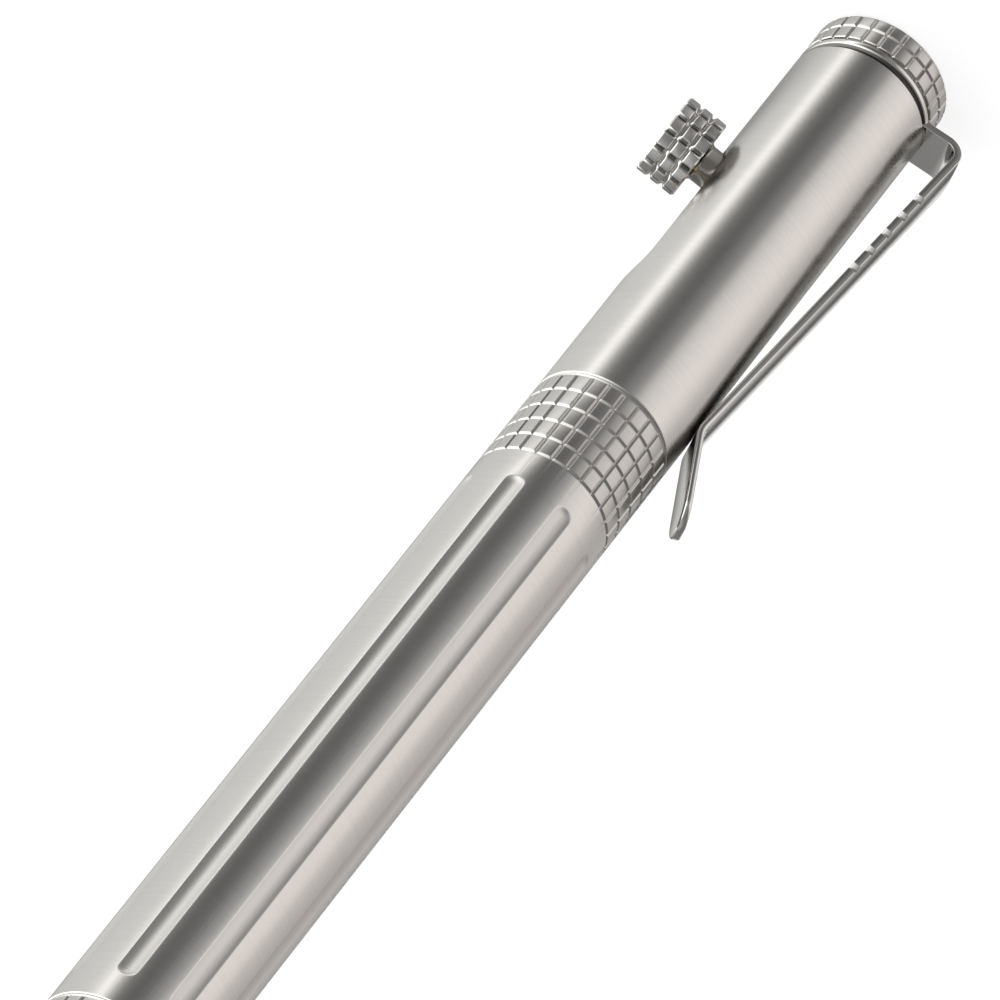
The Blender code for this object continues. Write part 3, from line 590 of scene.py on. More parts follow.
def make_slot_cutter():
    """Cutter with walls square to the bolt's path and a chamfer at the barrel's surface."""
    shape = bmesh.new()
    points = slot_outline()
    layers = []
    for radius in (SLOT_INSIDE_RADIUS, BARREL_BORE, BARREL_RADIUS - SLOT_CHAMFER):
        layer = []
        for turn, side, level in points:
            angle = turn + math.asin(side / radius)
            layer.append((radius * math.cos(angle), radius * math.sin(angle), level))
        layers.append(layer)
    flat = widened(unrolled(points), 2 * SLOT_CHAMFER)
    for radius in (BARREL_RADIUS + SLOT_CHAMFER, SLOT_OUTSIDE_RADIUS):
        layer = []
        for spot in flat:
            angle = spot.x / BARREL_RADIUS
            layer.append((radius * math.cos(angle), radius * math.sin(angle), spot.y))
        layers.append(layer)
    rings = [[shape.verts.new(place) for place in layer] for layer in layers]
    for lower, upper in zip(rings, rings[1:]):
        join_rings(shape, lower, upper)
    shape.faces.new(rings[0])
    shape.faces.new(rings[-1])
    bmesh.ops.triangulate(shape, faces=shape.faces)
    return shape


def make_upper_barrel(material):
    """Plain tube with its sockets, its spigot and the bolt's slot."""
    socket = CAP_SPIGOT_RADIUS + THREAD_FIT
    socket_end = CAP_HEIGHT + CAP_SPIGOT_LENGTH + SOCKET_END_ROOM
    spigot_end = UPPER_END + JOINT_SPIGOT_LENGTH
    groove_end = UPPER_END + SEAL_GROOVE_WIDTH
    bottom = JOINT_SPIGOT_RADIUS - SEAL_SECTION
    stations = [(BARREL_RADIUS - RING_CHAMFER, UPPER_Z), (BARREL_RADIUS, UPPER_Z + EDGE_CHAMFER)]
    stations += rounded_edge(BARREL_RADIUS, UPPER_END, SEAM_ROUND, CORNER_STEPS)
    stations += [(bottom, UPPER_END), (bottom, groove_end), (JOINT_SPIGOT_RADIUS, groove_end)]
    stations += [(JOINT_SPIGOT_RADIUS, spigot_end - EDGE_CHAMFER)]
    stations += [(JOINT_SPIGOT_RADIUS - EDGE_CHAMFER, spigot_end), (BARREL_BORE, spigot_end)]
    stations += [(BARREL_BORE, socket_end), (socket, socket_end), (socket, UPPER_Z)]
    barrel = add_piece("upper_barrel_fine", skin(stations, even_angles(ROUND)), material,
                       "barrel", ["upper_barrel"])
    cut(barrel, add_piece("slot_cutter", make_slot_cutter(), material, None, ()))


def flute_run():
    """Levels between which the flutes are straight."""
    half = FLUTE_WIDTH / 2
    return LOWER_Z + BAND_LENGTH + FLUTE_MARGIN + half, LOWER_END - FLUTE_MARGIN - half


def flute_depth(angle, level):
    """Depth of the flutes at a place: a ball cutter's path with a soft edge."""
    half = FLUTE_WIDTH / 2
    start, end = flute_run()
    ball = (half ** 2 + FLUTE_DEPTH ** 2) / (2 * FLUTE_DEPTH)
    across = nearest_offset(angle, FLUTE_PHASE, FLUTE_COUNT) * BARREL_RADIUS
    beyond = max(0.0, start - level, level - end)
    away = math.hypot(across, beyond)
    if away >= ball:
        return 0.0
    depth = math.sqrt(ball ** 2 - away ** 2) - (ball - FLUTE_DEPTH)
    return max(0.0, (depth + math.hypot(depth, FLUTE_EDGE)) / 2 - FLUTE_EDGE / 4)


def flute_angles():
    """Angles round the lower barrel, close together at the flutes' edges."""
    half = FLUTE_WIDTH / 2 / BARREL_RADIUS
    angles = []
    for flute in range(FLUTE_COUNT):
        middle = FLUTE_PHASE + math.tau * flute / FLUTE_COUNT
        angles += [middle + half * sample for sample in FLUTE_SAMPLES]
    return angles


def flute_levels():
    """Levels along the lower barrel, close together at the flutes' ends."""
    half = FLUTE_WIDTH / 2
    start, end = flute_run()
    levels = [start + half * sample for sample in FLUTE_HALF_SAMPLES]
    levels += [end - half * sample for sample in reversed(FLUTE_HALF_SAMPLES)]
    return levels


def make_lower_barrel(material, knurl_material, flute_material):
    """Tube with the knurled band and flutes."""
    grooves = ring_grooves(LOWER_Z, BAND_LENGTH, BAND_ROWS)
    band_end = LOWER_Z + BAND_LENGTH
    levels = [level for level in groove_levels(grooves, KNURL_RING_WIDTH)
              if level > LOWER_Z + EDGE_ROUND]
    levels = sorted(levels + flute_levels())
    places = barrel_knurl_angles() + flute_angles()
    turned = {round(angle % math.tau, ANGLE_DIGITS): angle % math.tau for angle in places}
    angles = [turned[key] for key in sorted(turned)]

    def station(level):
        def reach(angle):
            depth = max(knurl_depth(angle, level, grooves, LOWER_Z, band_end), flute_depth(angle, level))
            return BARREL_RADIUS - depth
        return (reach, level)

    socket = JOINT_SPIGOT_RADIUS + THREAD_FIT
    socket_end = LOWER_Z + JOINT_SPIGOT_LENGTH + SOCKET_END_ROOM
    nose_socket = NOSE_SPIGOT_RADIUS + THREAD_FIT
    nose_socket_start = LOWER_END - NOSE_SPIGOT_LENGTH - SOCKET_END_ROOM
    stations = [(BARREL_RADIUS - EDGE_ROUND, LOWER_Z)]
    stations += [station(level) for level in levels]
    stations += [(BARREL_RADIUS, LOWER_END - EDGE_ROUND), (BARREL_RADIUS - EDGE_ROUND, LOWER_END)]
    stations += [(nose_socket, LOWER_END), (nose_socket, nose_socket_start)]
    stations += [(REFILL_BORE, nose_socket_start), (REFILL_BORE, PLUNGER_ROOM_END)]
    stations += [(BARREL_BORE, PLUNGER_ROOM_END), (BARREL_BORE, socket_end)]
    stations += [(socket, socket_end), (socket, LOWER_Z)]
    barrel = add_piece("lower_barrel_fine", skin(stations, angles), material,
                       "barrel", ["lower_barrel"])
    roughen_knurl(barrel, knurl_material, LOWER_Z, band_end)
    dull_flutes(barrel, flute_material)


def make_nose(material, knurl_material):
    """Knurled collar, curved taper, tip hole and spring seat."""
    collar_end = NOSE_Z + COLLAR_LENGTH
    grooves = ring_grooves(NOSE_Z, COLLAR_LENGTH, COLLAR_ROWS)
    levels = [level for level in groove_levels(grooves, KNURL_RING_WIDTH)
              if NOSE_Z + EDGE_ROUND < level < collar_end]
    spigot_start = NOSE_Z - NOSE_SPIGOT_LENGTH
    groove = NOSE_SPIGOT_RADIUS - SEAL_SECTION
    groove_start = NOSE_Z - SEAL_GROOVE_WIDTH
    stations = [(REFILL_BORE, spigot_start), (NOSE_SPIGOT_RADIUS - EDGE_CHAMFER, spigot_start)]
    stations += [(NOSE_SPIGOT_RADIUS, spigot_start + EDGE_CHAMFER), (NOSE_SPIGOT_RADIUS, groove_start)]
    stations += [(groove, groove_start), (groove, NOSE_Z), (BARREL_RADIUS - EDGE_ROUND, NOSE_Z)]
    stations += [knurl_station(level, grooves, NOSE_Z, collar_end) for level in levels]
    taper_end = TIP_Z - NOSE_TIP_ROUND
    for step in range(NOSE_STEPS + 1):
        share = step / NOSE_STEPS
        radius = NOSE_TIP_RADIUS + (NOSE_ROOT_RADIUS - NOSE_TIP_RADIUS) * (1 - share ** NOSE_BULGE)
        stations.append((radius, collar_end + share * (taper_end - collar_end)))
    for angle in arc(0.0, math.pi / 2, CORNER_STEPS)[1:]:
        radius = NOSE_TIP_RADIUS - NOSE_TIP_ROUND * (1 - math.cos(angle))
        stations.append((radius, taper_end + NOSE_TIP_ROUND * math.sin(angle)))
    step_end = NOSE_BORE_STEP_Z + REFILL_BORE - NOSE_SPRING_BORE
    stations += [(NOSE_TIP_HOLE, TIP_Z), (NOSE_TIP_HOLE, SPRING_SEAT_Z)]
    stations += [(NOSE_SPRING_BORE, SPRING_SEAT_Z), (NOSE_SPRING_BORE, step_end)]
    stations.append((REFILL_BORE, NOSE_BORE_STEP_Z))
    nose = add_piece("nose_cone_fine", skin(stations, barrel_knurl_angles()), material,
                     "barrel", ["nose_cone"])
    roughen_knurl(nose, knurl_material, NOSE_Z, collar_end)


def clip_notch_levels():
    """Levels of the sections that shape the leg's notches."""
    levels = []
    for notch in range(CLIP_NOTCHES):
        middle = CLIP_NOTCH_START_Z + notch * CLIP_NOTCH_SPACING
        for step in range(CLIP_NOTCH_STEPS + 1):
            levels.append(middle + CLIP_NOTCH_WIDTH * (step / CLIP_NOTCH_STEPS - 0.5))
    return levels


def clip_path():
    """Middle line of the strip in (reach, level): tongue, bend, leg, contact bend, flared tip."""
    half = CLIP_THICKNESS / 2
    tongue = CLIP_Z + half
    leg = BARREL_RADIUS + CLIP_STANDOFF + half
    contact = BARREL_RADIUS + CLIP_SEAM + half
    bend = CLIP_BEND_RADIUS
    lean = math.atan2(leg - contact, CLIP_CONTACT_Z - tongue - bend)
    path = [Vector((BARREL_RADIUS - 2 * half, tongue))]
    for angle in arc(0.0, math.pi / 2 + lean, CLIP_BEND_STEPS):
        path.append(Vector((leg - bend + bend * math.sin(angle),
                            tongue + bend - bend * math.cos(angle))))
    for level in clip_notch_levels():
        path.append(Vector((leg - (level - tongue - bend) * math.tan(lean), level)))
    for angle in arc(-lean, lean + CLIP_FLARE, CLIP_BEND_STEPS):
        path.append(Vector((contact + CLIP_CONTACT_RADIUS * (1 - math.cos(angle)),
                            CLIP_CONTACT_Z + CLIP_CONTACT_RADIUS * math.sin(angle))))
    along = Vector((math.sin(CLIP_FLARE), math.cos(CLIP_FLARE)))
    start = path[-1]
    straight = CLIP_FLARE_LENGTH - CLIP_TIP_WIDTH / 2
    path.append(start + along * straight)
    for angle in arc(0.0, math.pi / 2, CLIP_TIP_STEPS)[1:-1]:
        path.append(start + along * (straight + CLIP_TIP_WIDTH / 2 * math.sin(angle)))
    return path


def tip_run(place, tip_start, tip_end):
    """How far a place on the strip's path lies past the start of its round tip."""
    return (place - tip_start).dot((tip_end - tip_start).normalized())


def clip_half_width(place, tip_start, tip_end):
    """Half width of the strip, which narrows a little and is round at its tip."""
    share = min(1.0, max(0.0, (place.y - CLIP_NOTCH_START_Z) / (tip_start.y - CLIP_NOTCH_START_Z)))
    half = (CLIP_WIDTH + share * (CLIP_TIP_WIDTH - CLIP_WIDTH)) / 2
    run = tip_run(place, tip_start, tip_end)
    if run > 0:
        half *= math.sqrt(max(0.0, 1 - (run / (CLIP_TIP_WIDTH / 2)) ** 2))
    return half


def clip_notch_depth(level):
    """How deep the V notches bite into both edges of the strip at a level."""
    first = CLIP_NOTCH_START_Z - CLIP_NOTCH_WIDTH
    last = CLIP_NOTCH_START_Z + (CLIP_NOTCHES - 1) * CLIP_NOTCH_SPACING + CLIP_NOTCH_WIDTH
    if not first < level < last:
        return 0.0
    offset = (level - CLIP_NOTCH_START_Z + CLIP_NOTCH_SPACING / 2) % CLIP_NOTCH_SPACING
    offset = (offset - CLIP_NOTCH_SPACING / 2) / (CLIP_NOTCH_WIDTH / 2)
    return CLIP_NOTCH_DEPTH * max(0.0, 1 - abs(offset))


def clip_edge_round(level):
    """Edge radius of the strip: crisp along the notches, growing to a softly rounded tip."""
    notch_end = CLIP_NOTCH_START_Z + CLIP_NOTCHES * CLIP_NOTCH_SPACING
    share = min(1.0, max(0.0, (level - notch_end) / (CLIP_CONTACT_Z - notch_end)))
    return CLIP_EDGE_ROUND + share * (CLIP_TIP_ROUND - CLIP_EDGE_ROUND)


def clip_half_thickness(place, tip_start, tip_end):
    """Half thickness of the strip, rounded off at the very end of its tip."""
    run = tip_run(place, tip_start, tip_end)
    over = max(0.0, run - (CLIP_TIP_WIDTH / 2 - CLIP_TIP_ROUND))
    return CLIP_THICKNESS / 2 - CLIP_TIP_ROUND + math.sqrt(CLIP_TIP_ROUND ** 2 - over ** 2)


def strip_section(half, thick, edge_round):
    """Section of the strip as (side, out): round edges and a slightly crowned outer face."""
    crown = CLIP_CROWN * (2 * half / CLIP_WIDTH) ** 2
    corner = min(edge_round, half * CLIP_CORNER_LIMIT, (thick - crown / 2) * CLIP_CORNER_LIMIT)
    points = []
    for quarter, (side, out) in enumerate(((1, 1), (-1, 1), (-1, -1), (1, -1))):
        reach = thick - crown if out > 0 else thick
        for angle in arc(quarter * math.pi / 2, math.pi / 2, CORNER_STEPS):
            points.append((side * (half - corner) + corner * math.cos(angle),
                           out * (reach - corner) + corner * math.sin(angle)))
        if quarter == 0:
            points += [(share * (half - corner), thick - crown * share ** 2)
                       for share in CLIP_CROWN_SHARES]
    return points


def make_clip_strip():
    """The strip swept along its path, on its own side of the pen."""
    shape = bmesh.new()
    path = clip_path()
    tip_start = path[-CLIP_TIP_STEPS]
    rings = []
    for index, place in enumerate(path):
        before = path[max(index - 1, 0)]
        after = path[min(index + 1, len(path) - 1)]
        along = (after - before).normalized()
        outward = Vector((along.y, -along.x))
        section = []
        half = clip_half_width(place, tip_start, path[-1]) - clip_notch_depth(place.y)
        thick = clip_half_thickness(place, tip_start, path[-1])
        for side, out in strip_section(half, thick, clip_edge_round(place.y)):
            spot = place + outward * out
            section.append(shape.verts.new((spot.x, side, spot.y)))
        rings.append(section)
    for lower, upper in zip(rings, rings[1:]):
        join_rings(shape, lower, upper)
    shape.faces.new(rings[0])
    shape.faces.new(rings[-1])
    turn = Matrix.Rotation(CLIP_AZIMUTH, 3, "Z")
    bmesh.ops.rotate(shape, cent=(0, 0, 0), matrix=turn, verts=shape.verts)
    return shape


def paint_seam_shade(clip, material):
    """Painted shade, a near-black steel colour, on the ring's top edge, which lies in the shadowed seam
    below the barrel.
    """
    index = add_finish(clip, material)
    mesh = clip.data
    middle = (CLIP_Z + CLIP_THICKNESS / 2) * MM
    for face in mesh.polygons:
        reach = max(mesh.vertices[corner].co.xy.length for corner in face.vertices)
        if reach < (BARREL_RADIUS - CLIP_RING_SEAM) * MM and face.center.z > middle:
            face.material_index = index


def make_clip(material, seam_shade_material):
    """The clip's ring and strip, joined to one piece."""
    top = CLIP_Z + CLIP_THICKNESS
    hole = CAP_SPIGOT_RADIUS + THREAD_FIT
    stations = [(hole, CLIP_Z)]
    for angle in arc(-math.pi / 2, math.pi / 2, CORNER_STEPS):
        stations.append((BARREL_RADIUS - CLIP_RING_FOOT * (1 - math.cos(angle)),
                         CLIP_Z + CLIP_RING_FOOT * (1 + math.sin(angle))))
    stations += rounded_edge(BARREL_RADIUS, top, CLIP_RING_TOP, 2 * CORNER_STEPS)
    stations.append((hole, top))
    clip = add_piece("pocket_clip_fine", skin(stations, even_angles(ROUND)), material,
                     "barrel", ["pocket_clip"])
    cut(clip, add_piece("clip_strip", make_clip_strip(), material, None, ()), "UNION")
    paint_seam_shade(clip, seam_shade_material)


def lay_along_x(shape):
    """Lay a piece that was turned about Z along +X, at the bolt's height."""
    place = Matrix.Translation((0, 0, BOLT_Z)) @ Matrix.Rotation(math.pi / 2, 4, "Y")
    bmesh.ops.transform(shape, matrix=place, verts=shape.verts)
    return shape


def paint_stem_shade(bolt, material):
    """Paint shade, as a darker steel colour, on the stem up to the knob's inner face, where it lies
    between the knob and the barrel.
    """
    index = add_finish(bolt, material)
    for face in bolt.data.polygons:
        if face.center.x < (KNOB_INNER_X + EDGE_ROUND / 2) * MM:
            face.material_index = index


def paint_knob_groove_shade(bolt, rings, material):
    """Paint shade, as a darker steel colour, on the floors of the knob's lengthwise grooves; the ring
    grooves stay bright.
    """
    index = add_finish(bolt, material)
    floor = KNOB_RADIUS - KNOB_DEPTH * KNOB_DARK_SHARE
    for face in bolt.data.polygons:
        reach = math.hypot(face.center.y, face.center.z - BOLT_Z * MM) / MM
        level = face.center.x / MM
        in_ring = any(abs(level - ring) < KNOB_RING_WIDTH / 2 for ring in rings)
        in_knob = KNOB_INNER_X + KNOB_CHAMFER < level < KNOB_OUTER_X - KNOB_CHAMFER
        if in_knob and not in_ring and reach < floor:
            face.material_index = index


def make_bolt(material, stem_shade_material, groove_shade_material):
    """Stud, stem and knurled knob."""
    pitch = (KNOB_OUTER_X - KNOB_INNER_X) / KNOB_ROWS
    grooves = [KNOB_INNER_X + pitch * row for row in range(1, KNOB_ROWS)]

    def station(level, inset=0.0):
        def reach(angle):
            across = nearest_offset(angle, KNOB_PHASE, KNOB_COLUMNS) * KNOB_RADIUS
            depth = KNOB_DEPTH * groove_share(across, KNOB_GROOVE_WIDTH / 2)
            for groove in grooves:
                depth = max(depth, KNOB_RING_DEPTH * groove_share(level - groove, KNOB_RING_WIDTH / 2))
            return KNOB_RADIUS - inset - depth
        return (reach, level)

    neck = STEM_RADIUS + KNOB_NECK
    core = KNOB_RADIUS - KNOB_RING_DEPTH - KNOB_CHAMFER - EDGE_ROUND
    stations = [(0, STUD_END_X), (STUD_RADIUS, STUD_END_X), (STUD_RADIUS, STEM_SEAT_X)]
    stations += [(STEM_RADIUS, STEM_SEAT_X), (STEM_RADIUS, KNOB_INNER_X - KNOB_NECK)]
    for angle in arc(0.0, math.pi / 2, CORNER_STEPS)[1:]:
        stations.append((neck - KNOB_NECK * math.cos(angle),
                         KNOB_INNER_X - KNOB_NECK + KNOB_NECK * math.sin(angle)))
    stations += [(core, KNOB_INNER_X), station(KNOB_INNER_X, KNOB_CHAMFER)]
    stations.append(station(KNOB_INNER_X + KNOB_CHAMFER))
    stations += [station(level) for level in groove_levels(grooves, KNOB_RING_WIDTH)]
    stations += [station(KNOB_OUTER_X - KNOB_CHAMFER), station(KNOB_OUTER_X, KNOB_CHAMFER)]
    stations += [(core, KNOB_OUTER_X), (0, KNOB_OUTER_X)]
    angles = knurl_angles(KNOB_COLUMNS, KNOB_PHASE, KNOB_GROOVE_WIDTH, KNOB_RADIUS)
    bolt = add_piece("bolt_handle_fine", lay_along_x(skin(stations, angles)), material,
                     "bolt", ["bolt_handle"])
    # The stem and the knob's groove floors get painted shade.
    paint_stem_shade(bolt, stem_shade_material)
    paint_knob_groove_shade(bolt, grooves, groove_shade_material)


def make_plunger(material):
    """Rod with the refill's socket and the hole for the bolt's stud."""
    socket = REFILL_REAR_Z - POINT_SEAM
    stations = [(0, PLUNGER_REAR_Z), (PLUNGER_RADIUS - PLUNGER_CHAMFER, PLUNGER_REAR_Z)]
    stations += [(PLUNGER_RADIUS, PLUNGER_REAR_Z + PLUNGER_CHAMFER), (PLUNGER_RADIUS, PLUNGER_FRONT_Z)]
    stations += [(PLUNGER_SOCKET_RADIUS, PLUNGER_FRONT_Z), (PLUNGER_SOCKET_RADIUS, socket), (0, socket)]
    plunger = add_piece("plunger_fine", skin(stations, even_angles(BORE_ROUND)), material,
                        "bolt", ["plunger"])
    stud = STUD_RADIUS + THREAD_FIT
    stem = STEM_RADIUS + THREAD_FIT
    start = STUD_END_X - POINT_SEAM
    seat = STEM_SEAT_X - POINT_SEAM
    hole = [(0, start), (stud, start), (stud, seat), (stem, seat), (stem, 2 * PLUNGER_RADIUS)]
    hole.append((0, 2 * PLUNGER_RADIUS))
    cutter = lay_along_x(skin(hole, even_angles(SMALL_ROUND)))
    cut(plunger, add_piece("stud_hole_cutter", cutter, material, None, ()))


def make_refill(tube_material, point_material, ball_material):
    """Tube with its nozzle, point and ball."""
    rear = REFILL_REAR_Z + PLUG_HEAD + POINT_SEAM
    nozzle_end = REFILL_TIP_Z - NOZZLE_TIP_FROM_END
    bore = REFILL_RADIUS - REFILL_WALL
    step = REFILL_SHOULDER_Z + NOZZLE_ROOT_LENGTH
    point_bore = POINT_SPIGOT_RADIUS + THREAD_FIT
    shoulder = REFILL_SHOULDER_Z
    stations = [(bore, rear), (REFILL_RADIUS, rear), (REFILL_RADIUS, shoulder - REFILL_CHAMFER)]
    stations += [(REFILL_RADIUS - REFILL_CHAMFER, shoulder), (NOZZLE_ROOT_RADIUS, shoulder)]
    stations += [(NOZZLE_ROOT_RADIUS, step), (NOZZLE_RADIUS, step + REFILL_CHAMFER)]
    stations += [(NOZZLE_RADIUS, nozzle_end), (point_bore, nozzle_end)]
    stations += [(point_bore, shoulder), (bore, shoulder - bore)]
    add_piece("refill_tube_fine", skin(stations, even_angles(SMALL_ROUND)), tube_material,
              "refill", ["refill_tube"])
    base = nozzle_end + POINT_SEAM
    ball_z = REFILL_TIP_Z - BALL_RADIUS
    seat = ball_z - (BALL_RADIUS + BALL_FIT) * math.sqrt(2)
    rim = (BALL_RADIUS + POINT_TIP_RADIUS) / 2
    stations = [(0, base - POINT_SPIGOT_LENGTH), (POINT_SPIGOT_RADIUS, base - POINT_SPIGOT_LENGTH)]
    stations += [(POINT_SPIGOT_RADIUS, base), (NOZZLE_RADIUS, base)]
    stations += [(NOZZLE_RADIUS, base + REFILL_CHAMFER), (POINT_TIP_RADIUS, seat + rim)]
    stations += [(rim, seat + rim), (0, seat)]
    add_piece("refill_point_fine", skin(stations, even_angles(SMALL_ROUND)), point_material,
              "refill", ["refill_point"])
    ball = bmesh.new()
    bmesh.ops.create_uvsphere(ball, u_segments=SMALL_ROUND // 2, v_segments=SMALL_ROUND // 4,
                              radius=BALL_RADIUS)
    bmesh.ops.translate(ball, vec=(0, 0, ball_z), verts=ball.verts)
    add_piece("point_ball_fine", ball, ball_material, "writing_ball", ["point_ball"])


def make_spring(material):
    """Fine return spring, from the refill's shoulder to its seat in the nose."""
    start = REFILL_SHOULDER_Z + SPRING_SEAT_ROOM + SPRING_WIRE / 2
    end = SPRING_SEAT_Z - SPRING_SEAT_ROOM - SPRING_WIRE / 2
    count = SPRING_TURNS * SPRING_POINTS_PER_TURN
    curve = bpy.data.curves.new("return_spring_fine", "CURVE")
    curve.dimensions = "3D"
    curve.bevel_depth = SPRING_WIRE / 2 * MM
    curve.bevel_resolution = SPRING_BEVEL_STEPS
    curve.use_fill_caps = True
    spline = curve.splines.new("POLY")
    spline.points.add(count)
    for step, spot in enumerate(spline.points):
        angle = math.tau * step / SPRING_POINTS_PER_TURN
        level = start + (end - start) * step / count
        x = SPRING_RADIUS * math.cos(angle)
        y = SPRING_RADIUS * math.sin(angle)
        spot.co = (x * MM, y * MM, level * MM, 1.0)
    drawn = add_object("spring_curve", curve)
    graph = bpy.context.evaluated_depsgraph_get()
    mesh = bpy.data.meshes.new_from_object(drawn.evaluated_get(graph))
    bpy.data.objects.remove(drawn, do_unlink=True)
    weld(mesh)
    spring = add_object("return_spring_fine", mesh)
    mesh.materials.clear()
    mesh.materials.append(material)
    mesh.shade_smooth()
    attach(spring, "barrel")
    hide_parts("return_spring")
    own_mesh(spring)


def node(tree, kind, **inputs):
    """A shader node with some of its inputs set by name."""
    made = tree.nodes.new(kind)
    for name, value in inputs.items():
        made.inputs[name.replace("_", " ")].default_value = value
    return made


def math_node(tree, operation, *inputs):
    """A math node's result; each input is a socket or a plain number."""
    made = tree.nodes.new("ShaderNodeMath")
    made.operation = operation
    for index, value in enumerate(inputs):
        if isinstance(value, float):
            made.inputs[index].default_value = value
        else:
            tree.links.new(value, made.inputs[index])
    return made.outputs[0]


def start_material(name):
    """A new material, and its node tree."""
    material = bpy.data.materials.new(name)
    material.use_nodes = True
    return material, material.node_tree


def tone_and_bump(tree, pattern, colour, tones, strength):
    """Let a pattern change the colour a little and raise the surface."""
    link = tree.links.new
    shader = tree.nodes["Principled BSDF"]
    tone = tree.nodes.new("ShaderNodeMix")
    tone.data_type = "RGBA"
    for name, share in zip(("A", "B"), tones):
        tone.inputs[name].default_value = (*[min(1.0, share * part) for part in colour], 1.0)
    link(pattern, tone.inputs["Factor"])
    link(tone.outputs["Result"], shader.inputs["Base Color"])
    bump = node(tree, "ShaderNodeBump", Strength=strength, Distance=BUMP_DISTANCE)
    link(pattern, bump.inputs["Height"])
    link(bump.outputs["Normal"], shader.inputs["Normal"])


def brushed_metal(name, colour, roughness, spread, line_scale, line_bump):
    """Metal with fine tool lines, patchy roughness and slight colour change."""
    material, tree = start_material(name)
    link = tree.links.new
    shader = tree.nodes["Principled BSDF"]
    shader.inputs["Metallic"].default_value = 1.0
    place = tree.nodes.new("ShaderNodeTexCoord")
    stretch = node(tree, "ShaderNodeMapping", Scale=line_scale)
    lines = node(tree, "ShaderNodeTexNoise", Scale=1.0, Detail=METAL_DETAIL)
    link(place.outputs["Object"], stretch.inputs["Vector"])
    link(stretch.outputs["Vector"], lines.inputs["Vector"])
    patches = node(tree, "ShaderNodeTexNoise", Scale=PATCH_SCALE, Detail=METAL_DETAIL)
    link(place.outputs["Object"], patches.inputs["Vector"])
    rough = node(tree, "ShaderNodeMapRange", To_Min=roughness - spread, To_Max=roughness + spread)
    link(patches.outputs["Fac"], rough.inputs["Value"])
    link(rough.outputs["Result"], shader.inputs["Roughness"])
    tone_and_bump(tree, lines.outputs["Fac"], colour, METAL_TONES, line_bump)
    return material


def soft_material(name, colour, roughness, grain, strength):
    """Rubber, plastic or ink: one colour with a fine grain in tone and surface."""
    material, tree = start_material(name)
    tree.nodes["Principled BSDF"].inputs["Roughness"].default_value = roughness
    place = tree.nodes.new("ShaderNodeTexCoord")
    noise = node(tree, "ShaderNodeTexNoise", Scale=grain, Detail=SOFT_DETAIL)
    tree.links.new(place.outputs["Object"], noise.inputs["Vector"])
    tone_and_bump(tree, noise.outputs["Fac"], colour, SOFT_TONES, strength)
    return material


def dress():
    """Make every piece and give the carried-over CAD nodes their materials.

    A metal takes its colour, roughness and its spread, then the scale and bump of its tool lines.
    """
    satin = brushed_metal("satin_steel_turned", STEEL, 0.27, 0.015, ROUND_LINES, 0.005)
    knurl = brushed_metal("satin_steel_knurl", KNURLED, 0.32, 0.04, ROUND_LINES, 0.06)
    flute = brushed_metal("satin_steel_flute", STEEL, 0.4, 0.02, CLIP_LINES, 0.02)
    knob = brushed_metal("satin_steel_knob", STEEL, 0.24, 0.03, KNOB_LINES, 0.10)
    # The stem gets painted shade, a darker steel colour, where it lies between the knob and the barrel.
    stem = brushed_metal("painted_shade_stem", PAINTED_STEM_SHADE, 0.18, 0.03, KNOB_LINES, 0.02)
    # The knob's groove floors get painted shade, a darker steel colour.
    groove = brushed_metal("painted_shade_knob_groove", PAINTED_GROOVE_SHADE, 0.3, 0.03, KNOB_LINES, 0.02)
    bright = brushed_metal("bright_steel_strip", BRIGHT, 0.12, 0.02, CLIP_LINES, 0.03)
    # The ring's top edge gets painted shade, a near-black steel colour, for the seam below the barrel.
    seam = brushed_metal("painted_shade_seam", PAINTED_SEAM_SHADE, 0.3, 0.03, ROUND_LINES, 0.02)
    tube = brushed_metal("refill_steel_drawn", BRIGHT, 0.2, 0.03, CLIP_LINES, 0.05)
    wire = brushed_metal("spring_wire", BRIGHT, 0.22, 0.03, ROUND_LINES, 0.05)
    brass = brushed_metal("turned_brass", BRASS, 0.28, 0.04, ROUND_LINES, 0.10)
    dull = brushed_metal("dull_brass", DULL_BRASS, 0.34, 0.04, ROUND_LINES, 0.10)
    make_end_cap(satin, knurl)
    make_clip(bright, seam)
    make_upper_barrel(satin)
    make_lower_barrel(satin, knurl, flute)
    make_nose(satin, knurl)
    make_bolt(knob, stem, groove)
    make_plunger(dull)
    make_refill(tube, brass, tube)
    make_spring(wire)
    rubber = soft_material("seal_rubber", RUBBER, 0.65, 9000.0, 0.3)
    plastic = soft_material("plug_plastic", PLASTIC, 0.5, 6000.0, 0.2)
    ink = soft_material("paste_ink", INK, 0.25, 2000.0, 0.1)
    for name in ("cap_seal_ring", "joint_seal_ring", "nose_seal_ring"):
        give(name, rubber)
    give("refill_end_plug", plastic)
    give("ink_column", ink)


def give(name, material):
    """Put a material on a CAD node that stays in view."""
    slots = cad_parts[name].data.materials
    slots.clear()
    slots.append(material)


def stage_object(name, shape, material, seen_by_camera=True):
    """A mesh of the stage, not of the pen."""
    item = add_object(name, bpy.data.meshes.new(name))
    shape.to_mesh(item.data)
    shape.free()
    item.data.materials.append(material)
    item.visible_camera = seen_by_camera
    if not seen_by_camera:
        item.visible_diffuse = False
        item.visible_shadow = False
    return item


def stage_material(name):
    """A new material that has only an output, with its node tree and that output."""
    material, tree = start_material(name)
    tree.nodes.clear()
    return material, tree, tree.nodes.new("ShaderNodeOutputMaterial")


def background_rays(tree):
    """1 for camera, glossy and transmission rays, and 0 for the rest."""
    rays = tree.nodes.new("ShaderNodeLightPath").outputs
    mirrored = math_node(tree, "MAXIMUM", rays["Is Camera Ray"], rays["Is Glossy Ray"])
    return math_node(tree, "MAXIMUM", mirrored, rays["Is Transmission Ray"])


